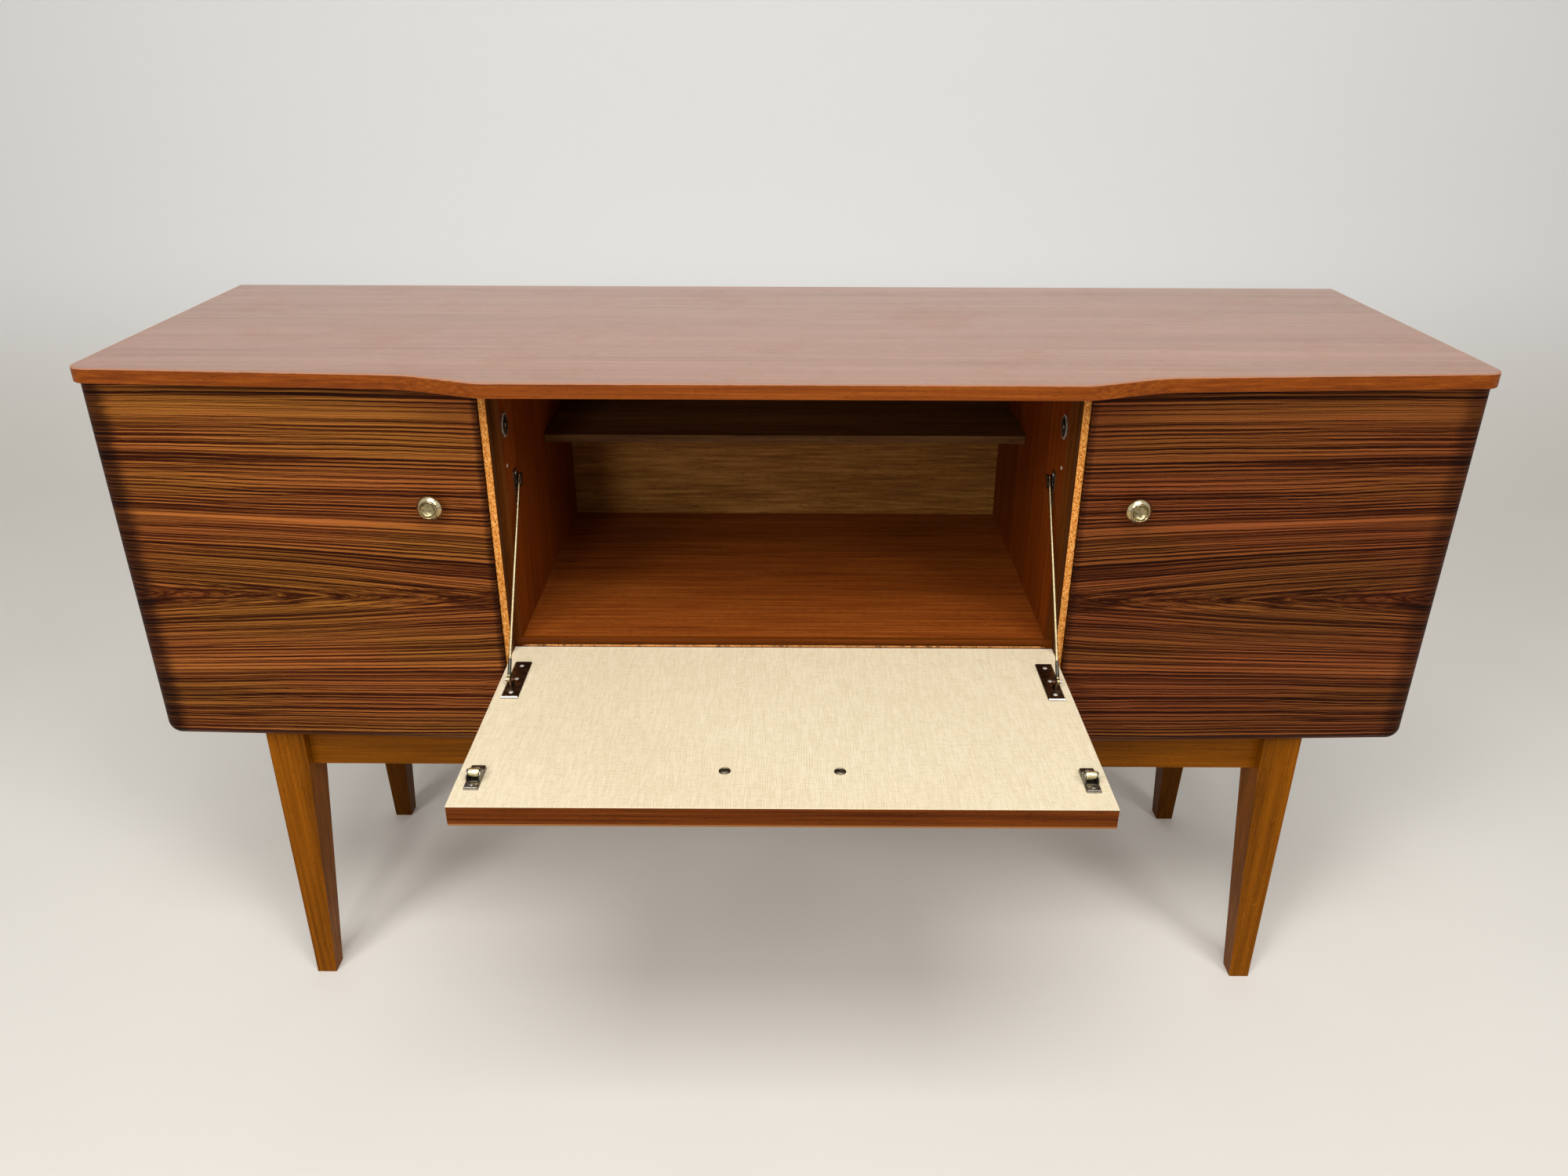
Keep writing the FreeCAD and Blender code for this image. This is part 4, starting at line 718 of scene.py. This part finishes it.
class SIDEBOARD_OT_stage(bpy.types.Operator):
    """Sets up the camera, the lamps, the fill light, the pale floor and the backdrop"""
    bl_idname = "sideboard.stage"
    bl_label = "Stage"

    def execute(self, context):
        scene = context.scene
        wish = scene.sideboard_stage
        scene.view_settings.view_transform = "Standard"
        lens = bpy.data.cameras.new("Camera")
        lens.sensor_fit, lens.sensor_width, lens.lens = "HORIZONTAL", SENSOR, LENS
        camera = bpy.data.objects.new("Camera", lens)
        tilt, roll, heading = (math.radians(angle) for angle in CAMERA_TURN)
        turn = Matrix.Rotation(heading, 3, "Z") @ Matrix.Rotation(tilt, 3, "X") @ Matrix.Rotation(roll, 3, "Z")
        camera.matrix_world = Matrix.Translation(CAMERA_SPOT) @ turn.to_4x4()
        scene.collection.objects.link(camera)
        scene.camera = camera
        for name, power, spot, aim, size in LAMPS:
            lamp = bpy.data.lights.new(name, "AREA")
            lamp.shape, lamp.energy = "RECTANGLE", getattr(wish, power)
            lamp.size, lamp.size_y = size
            holder = bpy.data.objects.new(name, lamp)
            holder.visible_camera = False
            way = (Vector(aim) - Vector(spot)).to_track_quat("-Z", "Y")
            holder.matrix_world = Matrix.Translation(spot) @ way.to_matrix().to_4x4()
            scene.collection.objects.link(holder)
        scene.world = bpy.data.worlds.new("Studio")
        scene.world.use_nodes = True
        n = Shade(scene.world.node_tree)
        n.tree.nodes.clear()
        rays = n.tree.nodes.new("ShaderNodeLightPath").outputs
        seen = n.most(rays["Is Camera Ray"], n.most(rays["Is Glossy Ray"], rays["Is Transmission Ray"]))
        plain = n.put("ShaderNodeBackground", {0: (1, 1, 1, 1), 1: wish.sky})
        white = n.put("ShaderNodeBackground", {0: (*BACKDROP, 1), 1: 1.0})
        mixed = n.put("ShaderNodeMixShader", {0: seen, 1: plain.outputs[0], 2: white.outputs[0]})
        n.put("ShaderNodeOutputWorld", {0: mixed.outputs[0]})
        self.floor(wish)
        return {"FINISHED"}

    def floor(self, wish):
        n = Finish("Pale floor")
        cloud = n.noise(n.spot, 1.6, detail=4.0)
        colour = n.ramp(cloud, ((0.3, toned(wish.floor_colour, 0.96)), (0.7, tuple(wish.floor_colour))))
        height = n.split(n.spot)[2]
        colour = n.blend(n.fade(height, 0.0, 0.5), colour, (*wish.wall_colour, 1))
        mesh = bmesh.new()
        half, bend = wish.floor_half, BACK - COVE
        bmesh.ops.create_grid(mesh, x_segments=1, y_segments=1, size=half,
                              matrix=Matrix.Translation((0, bend - half, 0)))
        rear = [edge for edge in mesh.edges if all(v.co.y > bend - 0.01 for v in edge.verts)]
        swept = bmesh.ops.spin(mesh, geom=rear, cent=(0, bend, COVE), axis=(1, 0, 0), angle=math.pi / 2,
                               steps=24)["geom_last"]
        rim = [part for part in swept if isinstance(part, bmesh.types.BMEdge)]
        risen = bmesh.ops.extrude_edge_only(mesh, edges=rim)["geom"]
        bmesh.ops.translate(mesh, vec=(0, 0, WALL_HEIGHT),
                            verts=[v for v in risen if isinstance(v, bmesh.types.BMVert)])
        bmesh.ops.remove_doubles(mesh, verts=mesh.verts[:], dist=1e-6)
        floor = mesh_object("Floor", mesh, n.done(colour, 0.75))


class SIDEBOARD_OT_groups(bpy.types.Operator):
    """Builds the shader groups that several finishes share"""
    bl_idname = "sideboard.groups"
    bl_label = "Shared finishes"

    def execute(self, context):
        wood_grain_group()
        handling_group()
        mirrored_figure_group()
        return {"FINISHED"}


THIN_COAT = {"coat": 0.04, "coat_rough": 0.2}
EDGE_TONES = ((0.34, (0.13, 0.026, 0.002)), (0.50, (0.205, 0.044, 0.003)), (0.66, (0.29, 0.075, 0.007)))
EDGE_LOOK = {"length": 6.0, "spacing": 420.0, "bands": 60.0, "relief": 0.12, **THIN_COAT}
LEG_LOOK = {"bands": 40.0, "rough": (0.42, 0.32), "pores": 0.4}
SIDE_TONES = ((0.33, (0.045, 0.012, 0.004)), (0.45, (0.13, 0.036, 0.009)), (0.55, (0.24, 0.080, 0.018)),
              (0.68, (0.36, 0.13, 0.032)))
BOARD_TONES = ((0.35, (0.20, 0.085, 0.032)), (0.50, (0.33, 0.16, 0.065)), (0.66, (0.44, 0.24, 0.11)))
BAY_FLOOR_TONES = ((0.34, (0.12, 0.025, 0.003)), (0.47, (0.22, 0.049, 0.006)), (0.57, (0.29, 0.074, 0.010)),
                   (0.68, (0.38, 0.110, 0.018)))
BAY_SIDE_TONES = ((0.34, (0.12, 0.022, 0.002)), (0.50, (0.19, 0.038, 0.003)), (0.66, (0.26, 0.062, 0.007)))
BACK_TONES = ((0.34, (0.17, 0.060, 0.012)), (0.47, (0.29, 0.115, 0.021)), (0.57, (0.40, 0.175, 0.036)),
              (0.68, (0.52, 0.26, 0.068)))
# Darkened tones, painted shade for the shelf under the top.
SHADED_SHELF_TONES = ((0.34, (0.060, 0.024, 0.006)), (0.47, (0.105, 0.045, 0.012)), (0.57, (0.145, 0.067, 0.020)),
               (0.68, (0.20, 0.10, 0.034)))
PINE_TONES = ((0.35, (0.42, 0.27, 0.13)), (0.50, (0.56, 0.39, 0.21)), (0.66, (0.68, 0.52, 0.31)))
PINE_LOOK = {"length": 4.0, "spacing": 180.0, "rough": (0.7, 0.6), "band_share": 0.5}
DRY_LOOK = {"band_share": 0.4, "pores": 0.6, "rough": (0.55, 0.45), "bands": 20.0}


class SIDEBOARD_OT_top(bpy.types.Operator):
    """Finishes the top board and the lippings of the top and the bay floor"""
    bl_idname = "sideboard.top"
    bl_label = "Top"

    def execute(self, context):
        base = context.scene.sideboard_wood.top_colour
        stops = ((0.34, toned(base, 0.62)), (0.46, toned(base, 0.9)), (0.56, tuple(base)),
                 (0.68, toned(base, 1.3)))
        wooden("top_board", "Top veneer", "x", stops, length=4.0, spacing=330.0, bands=26.0, wander=0.006,
               band_share=0.5, pores=0.55, rough=(0.40, 0.30), coat=0.55, coat_rough=0.18, marks=0.5, relief=0.10,
               gloss_level=0.5)
        wooden("top_lipping", "Lipping", "x", EDGE_TONES, rough=(0.42, 0.32), seed=2.0,
               wear_and_highlight_above=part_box("top_lipping")[1].z - 0.0014, **EDGE_LOOK)
        wooden("bay_floor_lipping", "Bay floor lipping", "x", toned_stops(EDGE_TONES, 0.7), seed=3.0,
               **EDGE_LOOK)
        return {"FINISHED"}


class SIDEBOARD_OT_doors(bpy.types.Operator):
    """Finishes the doors and the drawer front in the striped veneer; the right door's veneer is darkened as
    painted shade
    """
    bl_idname = "sideboard.doors"
    bl_label = "Doors"

    def execute(self, context):
        wood = context.scene.sideboard_wood
        finish("left_door", striped_veneer("Left door veneer", wood))
        # Painted shade: the right door's veneer is darkened to 0.70 of the left one's. Its tint is a redder tone
        # of the wood.
        finish("right_door", striped_veneer("Right door veneer", wood, 0.70, edge_band=0.6,
                                            tint=(1.0, 0.88, 1.1)))
        finish("drawer_front", striped_veneer("Drawer veneer", wood, 0.9, edge_band=0.0))
        return {"FINISHED"}


class SIDEBOARD_OT_carcass(bpy.types.Operator):
    """Finishes the side panels, dividers and boards, and adds the edge strips beside the bay"""
    bl_idname = "sideboard.carcass"
    bl_label = "Carcass"

    def execute(self, context):
        wooden("left_side_panel right_side_panel", "Side veneer", "y", SIDE_TONES, length=3.0, spacing=170.0,
               bands=30.0, wander=0.02, band_share=0.45, pores=0.7, rough=(0.48, 0.36), seed=4.0, **THIN_COAT)
        wooden("bottom_board cupboard_shelves", "Carcass board", "x", BOARD_TONES, length=4.0, spacing=240.0,
               rough=(0.6, 0.5), seed=5.0, marks=0.6)
        finish("left_divider right_divider", chipboard("Chipboard"))
        edge = chipboard("Chipboard edge", veneered=True)
        divider_low, divider_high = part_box("left_divider")
        front, back = DOOR_LOW.y / MM + 3.8, divider_low.y / MM
        inner, outer = FLAP_HIGH.x / MM + 0.6, DOOR_LOW.x / MM - 0.6
        low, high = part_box("drawer_front")[1].z / MM + 0.8, divider_high.z / MM
        for side, sign in SIDES:
            strip = block((outer - inner, back - front, high - low),
                          (sign * (inner + outer) / 2, (front + back) / 2, (low + high) / 2), 0.25, 2)
            piece(f"{side}_bay_edge_strip", strip, edge, "carcass")
        return {"FINISHED"}


class SIDEBOARD_OT_bay(bpy.types.Operator):
    """Finishes the open bay: its floor, sides, shelf and back; the shelf is darkened as painted shade"""
    bl_idname = "sideboard.bay"
    bl_label = "Bay"

    def execute(self, context):
        wooden("bay_floor", "Bay floor veneer", "x", BAY_FLOOR_TONES, length=7.0, spacing=300.0, bands=14.0,
               wander=0.01, band_share=0.4, pores=0.65, rough=(0.5, 0.4), seed=6.0, marks=0.45, **THIN_COAT)
        wooden("left_bay_side right_bay_side", "Bay side veneer", "z", BAY_SIDE_TONES,
               front_tone=(0.50, 0.62, 0.70), length=4.0, spacing=240.0, bands=16.0, wander=0.01, pores=0.35,
               rough=(0.5, 0.4), gloss_level=0.04, seed=7.0)
        wooden("back_panel", "Bay back veneer", "x", BACK_TONES, length=14.0, wander=0.02, seed=8.0, **DRY_LOOK)
        # Painted shade: the shelf takes darkened tones.
        wooden("bay_shelf", "Bay shelf wood", "x", SHADED_SHELF_TONES, length=8.0, wander=0.01, seed=15.0, **DRY_LOOK)
        return {"FINISHED"}


class SIDEBOARD_OT_legs(bpy.types.Operator):
    """Finishes the legs, the rails, the glue blocks and the drawer's inner parts; the rear legs are darkened as
    painted shade
    """
    bl_idname = "sideboard.legs"
    bl_label = "Legs and rails"

    def execute(self, context):
        base = context.scene.sideboard_wood.leg_colour
        stops = ((0.34, toned(base, 0.6)), (0.50, tuple(base)), (0.66, toned(base, 1.4)))
        for nodes, name, along, tones, gloss, seed, marks in (
                ("front_left_leg front_right_leg", "Leg wood", "z", stops, 0.04, 9.0, 0.7),
                # Painted shade: the rear legs take the leg tones darkened to 0.42.
                ("rear_left_leg rear_right_leg", "Rear leg wood", "z", toned_stops(stops, 0.42), 0.04, 9.5, 0.7),
                ("front_rail rear_rail", "Rail wood", "x", stops, 0.05, 10.0, 0.3),
                ("end_rails", "End rail wood", "y", stops, 0.05, 11.0, 0.3)):
            wooden(nodes, name, along, tones, gloss_level=gloss, seed=seed, marks=marks, **LEG_LOOK)
        wooden("glue_blocks drawer_sides drawer_runners", "Pine", "y", PINE_TONES, bands=60.0, seed=12.0,
               **PINE_LOOK)
        wooden("drawer_back drawer_bottom", "Drawer ply", "x", PINE_TONES, bands=30.0, seed=13.0, **PINE_LOOK)
        return {"FINISHED"}


class SIDEBOARD_OT_flap(bpy.types.Operator):
    """Finishes the drop flap's board and its linen laminate"""
    bl_idname = "sideboard.flap"
    bl_label = "Flap"

    def execute(self, context):
        wood = context.scene.sideboard_wood
        finish("flap_board", flap_veneer("Flap veneer", wood))
        finish("flap_lining", linen_laminate("Linen laminate", wood.lining_colour))
        return {"FINISHED"}


class SIDEBOARD_OT_metalwork(bpy.types.Operator):
    """Finishes the hinges, stays, catches, plates and handles"""
    bl_idname = "sideboard.metalwork"
    bl_label = "Metalwork"

    def execute(self, context):
        wish = context.scene.sideboard_metal
        brass = worn_metal("Aged brass", wish.brass_colour, 0.26)
        bronze = stay_plating("Bronzed plate", wish.bronze_colour)
        steel = worn_metal("Plated steel", wish.steel_colour, 0.28, tarnish=(0.15, 0.12, 0.09))
        dark = worn_metal("Blackened steel", (0.20, 0.20, 0.20), 0.3, tarnish=(0.06, 0.05, 0.045))
        rod = worn_metal("Stay rod brass", (0.30, 0.235, 0.13), 0.28, brushed=(900, 900, 60))
        hinge = worn_metal("Hinge brass", (0.23, 0.095, 0.028), 0.36, tarnish=(0.06, 0.022, 0.008),
                           tarnish_share=0.7, brushed=(120, 900, 900))
        finish("left_stay_rod right_stay_rod", rod)
        finish("flap_hinge_fixed_leaf flap_hinge_moving_leaf flap_hinge_pin", hinge)
        finish("flap_handle drawer_handle left_door_leaves right_door_leaves left_door_fixed_leaves "
               "right_door_fixed_leaves", brass)
        finish("door_hinge_pins door_catches left_door_strike right_door_strike", steel)
        finish("left_stay_plate right_stay_plate stay_brackets", bronze)
        finish("shelf_pegs", dark)
        return {"FINISHED"}


class SIDEBOARD_OT_knobs(bpy.types.Operator):
    """Turns the two door knobs, each with a flange, a stepped ring and a dished front"""
    bl_idname = "sideboard.knobs"
    bl_label = "Knobs"

    def execute(self, context):
        wish = context.scene.sideboard_metal
        rise = (KNOB_REACH - DOOR_LOW.x) * math.tan(CANT)
        for side, sign in SIDES:
            normal = Vector((sign * math.sin(CANT), -math.cos(CANT), 0))
            foot = Vector((sign * KNOB_REACH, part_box(f"{side}_door")[0].y + rise, middle(f"{side}_knob").z))
            mesh = placed((spun(KNOB_PROFILE, wish.knob_steps), facing(foot / MM, normal)))
            brass = knob_brass(f"Turned brass {side}", wish.brass_colour, foot, normal)
            piece(f"{side}_turned_knob", mesh, brass, f"{side}_door_leaf", (f"{side}_knob",))
        return {"FINISHED"}


class SIDEBOARD_OT_catches(bpy.types.Operator):
    """Builds the two roller catches: base with a front tab, cheeks, axle heads, guard and rollers"""
    bl_idname = "sideboard.catches"
    bl_label = "Roller catches"

    def execute(self, context):
        wish = context.scene.sideboard_metal
        plated = worn_metal("Catch plating", toned(wish.steel_colour, 0.62), 0.26, tarnish=(0.07, 0.055, 0.035),
                            tarnish_share=0.55)
        brass = worn_metal("Catch roller brass", wish.roller_colour, 0.2, brushed=(60, 900, 900))
        for side, sign in SIDES:
            x, y, _ = middle(f"{side}_roller_catch") / MM
            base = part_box(f"{side}_roller_catch")[0].z / MM
            axle = middle(f"{side}_catch_roller") / MM
            mesh = block((13, 34, 1.4), (x, y, base + 0.7), 0.5, 3, keep_low=True)
            absorb(mesh, block((12.4, 9.5, 1.5), (x, y - 11.8, base + 1.9), 0.7, 3))
            absorb(mesh, block((11.6, 2.0, 5.4), (x, axle.y + 6.0, base + 3.9), 0.8, 3))
            absorb(mesh, block((13, 8.5, 3.6), (x, y + 12.0, base + 2.4), 1.3, 4))
            for end in (-1, 1):
                edge = x + end * 5.85
                head = 0.3 if end == sign else 0.7  # the outer one stays clear of the closed flap's keep plate
                absorb(mesh, block((1.0, 13.6, 5.6), (edge, axle.y, base + 3.4), 0.4, 2))
                absorb(mesh, spun(CHEEK_PROFILE, 28), facing((edge, axle.y, axle.z - 1.9), (1, 0, 0)))
                absorb(mesh, button(1.7, head), facing((edge + end * 0.6, axle.y, axle.z), (end, 0, 0)))
            absorb(mesh, screw_head(2.5, 0.9), facing((x, y - 11.6, base + 2.55), (0, 0, 1), 25))
            absorb(mesh, screw_head(2.1, 0.7), facing((x, y + 12.6, base + 4.15), (0, 0, 1), -30))
            absorb(mesh, block((10.2, 1.0, 0.9), (x, y - 6.9, base + 2.2), 0.3, 2))
            piece(f"{side}_catch_frame", mesh, plated, "flap", (f"{side}_roller_catch",))
            piece(f"{side}_catch_barrel", placed((spun(ROLLER_PROFILE, 40), facing(axle, (1, 0, 0)))), brass,
                  f"{side}_roller", (f"{side}_catch_roller",))
        return {"FINISHED"}


class SIDEBOARD_OT_stays(bpy.types.Operator):
    """Adds the stays' rivets, pin heads, ferrules, bracket screws and eased swivels"""
    bl_idname = "sideboard.stays"
    bl_label = "Flap stays"

    def execute(self, context):
        wish = context.scene.sideboard_metal
        bright = worn_metal("Rivet steel", (0.86, 0.83, 0.76), 0.3, tarnish=(0.5, 0.44, 0.34), metallic=0.55)
        copper = worn_metal("Pin copper", (0.40, 0.17, 0.10), 0.3, tarnish=(0.15, 0.06, 0.03))
        dark = worn_metal("Dark ferrule", (0.06, 0.055, 0.045), 0.32, tarnish=(0.025, 0.02, 0.015))
        bronze = worn_metal("Bronzed swivel", toned(wish.bronze_colour, 0.45), 0.24, tarnish=(0.02, 0.016, 0.01))
        foot, head = FOOT / MM, HEAD / MM
        way = (HEAD - FOOT).normalized()
        for side, sign in SIDES:
            low, high = (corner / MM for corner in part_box(f"{side}_stay_plate"))
            rivets = placed(*((button(2.45, 0.95, 24), facing((sign * RIVET_X, low.y + (high.y - low.y) * share,
                                                               low.z + 1.5), (0, 0, 1)))
                              for share in RIVET_SHARES))
            piece(f"{side}_plate_rivets", rivets, bright, "flap")
            pin = placed((button(2.3, 1.0), facing((sign * EAR_X, foot.y, foot.z), (-sign, 0, 0))))
            piece(f"{side}_ear_pin_head", pin, copper, "flap")
            start = Vector((sign * ROD_X, foot.y, foot.z)) + way * FERRULE_START
            piece(f"{side}_rod_ferrule", placed((spun(FERRULE_PROFILE, 24), facing(start, way))), dark,
                  f"{side}_stay")
            tip = Vector((sign * ROD_X, head.y, head.z)) + way * TIP_START
            piece(f"{side}_rod_tip", placed((spun(TIP_PROFILE, 20), facing(tip, way))), copper, f"{side}_stay")
            piece(f"{side}_eased_swivel", eased_copy(f"{side}_stay_swivel", 0.28), bronze, f"{side}_swivel",
                  (f"{side}_stay_swivel",))
            screws = placed(*((screw_head(radius, 0.8),
                               facing((sign * (WALL_X - depth), y, z), (-sign, 0, 0), turn))
                              for y, z, radius, turn, depth in BRACKET_SCREWS))
            piece(f"{side}_bracket_screws", screws, bright, "carcass")
        return {"FINISHED"}


class SIDEBOARD_OT_small_plates(bpy.types.Operator):
    """Eases the octagonal keep plates and sets the slotted heads of the flap handle's screws"""
    bl_idname = "sideboard.small_plates"
    bl_label = "Keep plates and handle screws"

    def execute(self, context):
        plated = keep_plating("Keep plating")
        bright = worn_metal("Keep screw steel", (0.45, 0.40, 0.33), 0.3, tarnish=(0.2, 0.16, 0.12), metallic=0.7)
        dark = worn_metal("Handle screw steel", (0.19, 0.16, 0.115), 0.3, tarnish=(0.05, 0.04, 0.022),
                          tarnish_share=0.6)
        piece("eased_keep_plates", eased_copy("keep_plates", 0.5, 3), plated, "carcass",
              ("keep_plates",))
        reach, (x, y, z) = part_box("keep_plates")[1].x / MM - 2.0, middle("keep_plates") / MM
        screws = placed(*((screw_head(2.2, 0.6, 24), facing((sign * reach, y, z), (-sign, 0, 0), 35))
                          for sign in (-1, 1)))
        piece("keep_plate_screws", screws, bright, "carcass")
        low, high = (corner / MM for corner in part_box("flap_handle_screws"))
        heads = bmesh.new()
        for x, turn in ((low.x + 4.6, 62), (high.x - 4.6, 28)):
            seat = facing((x, (low.y + high.y) / 2, low.z), (0, 0, 1), turn)
            absorb(heads, spun(CUP_PROFILE, 36), seat)
            absorb(heads, screw_head(3.9, 1.15, 36), seat)
        piece("slotted_handle_screws", heads, dark, "flap", ("flap_handle_screws",))
        return {"FINISHED"}


# ---- panel and registration -------------------------------------------------------------------

OPERATORS = (SIDEBOARD_OT_groups, SIDEBOARD_OT_stage, SIDEBOARD_OT_top, SIDEBOARD_OT_doors, SIDEBOARD_OT_carcass,
             SIDEBOARD_OT_bay, SIDEBOARD_OT_legs, SIDEBOARD_OT_flap, SIDEBOARD_OT_metalwork, SIDEBOARD_OT_knobs,
             SIDEBOARD_OT_catches, SIDEBOARD_OT_stays, SIDEBOARD_OT_small_plates)
SETTINGS = (("sideboard_wood", SideboardWoodSettings), ("sideboard_metal", SideboardMetalSettings),
            ("sideboard_stage", SideboardStageSettings))


class SIDEBOARD_PT_panel(bpy.types.Panel):
    """Lists the sideboard's settings and operators"""
    bl_label = "Sideboard"
    bl_idname = "SIDEBOARD_PT_panel"
    bl_space_type = "VIEW_3D"
    bl_region_type = "UI"
    bl_category = "Sideboard"

    def draw(self, context):
        for attribute, group in SETTINGS:
            box = self.layout.box()
            for name in group.__annotations__:
                box.prop(getattr(context.scene, attribute), name)
        for operator in OPERATORS:
            self.layout.operator(operator.bl_idname)


def register():
    for attribute, group in SETTINGS:
        bpy.utils.register_class(group)
        setattr(bpy.types.Scene, attribute, bpy.props.PointerProperty(type=group))
    for thing in (*OPERATORS, SIDEBOARD_PT_panel):
        bpy.utils.register_class(thing)


def unregister():
    for thing in reversed((*OPERATORS, SIDEBOARD_PT_panel)):
        bpy.utils.unregister_class(thing)
    for attribute, group in reversed(SETTINGS):
        delattr(bpy.types.Scene, attribute)
        bpy.utils.unregister_class(group)


def main():
    register()
    for operator in OPERATORS:
        family, name = operator.bl_idname.split(".")
        getattr(getattr(bpy.ops, family), name)()


if __name__ == "__main__":
    main()
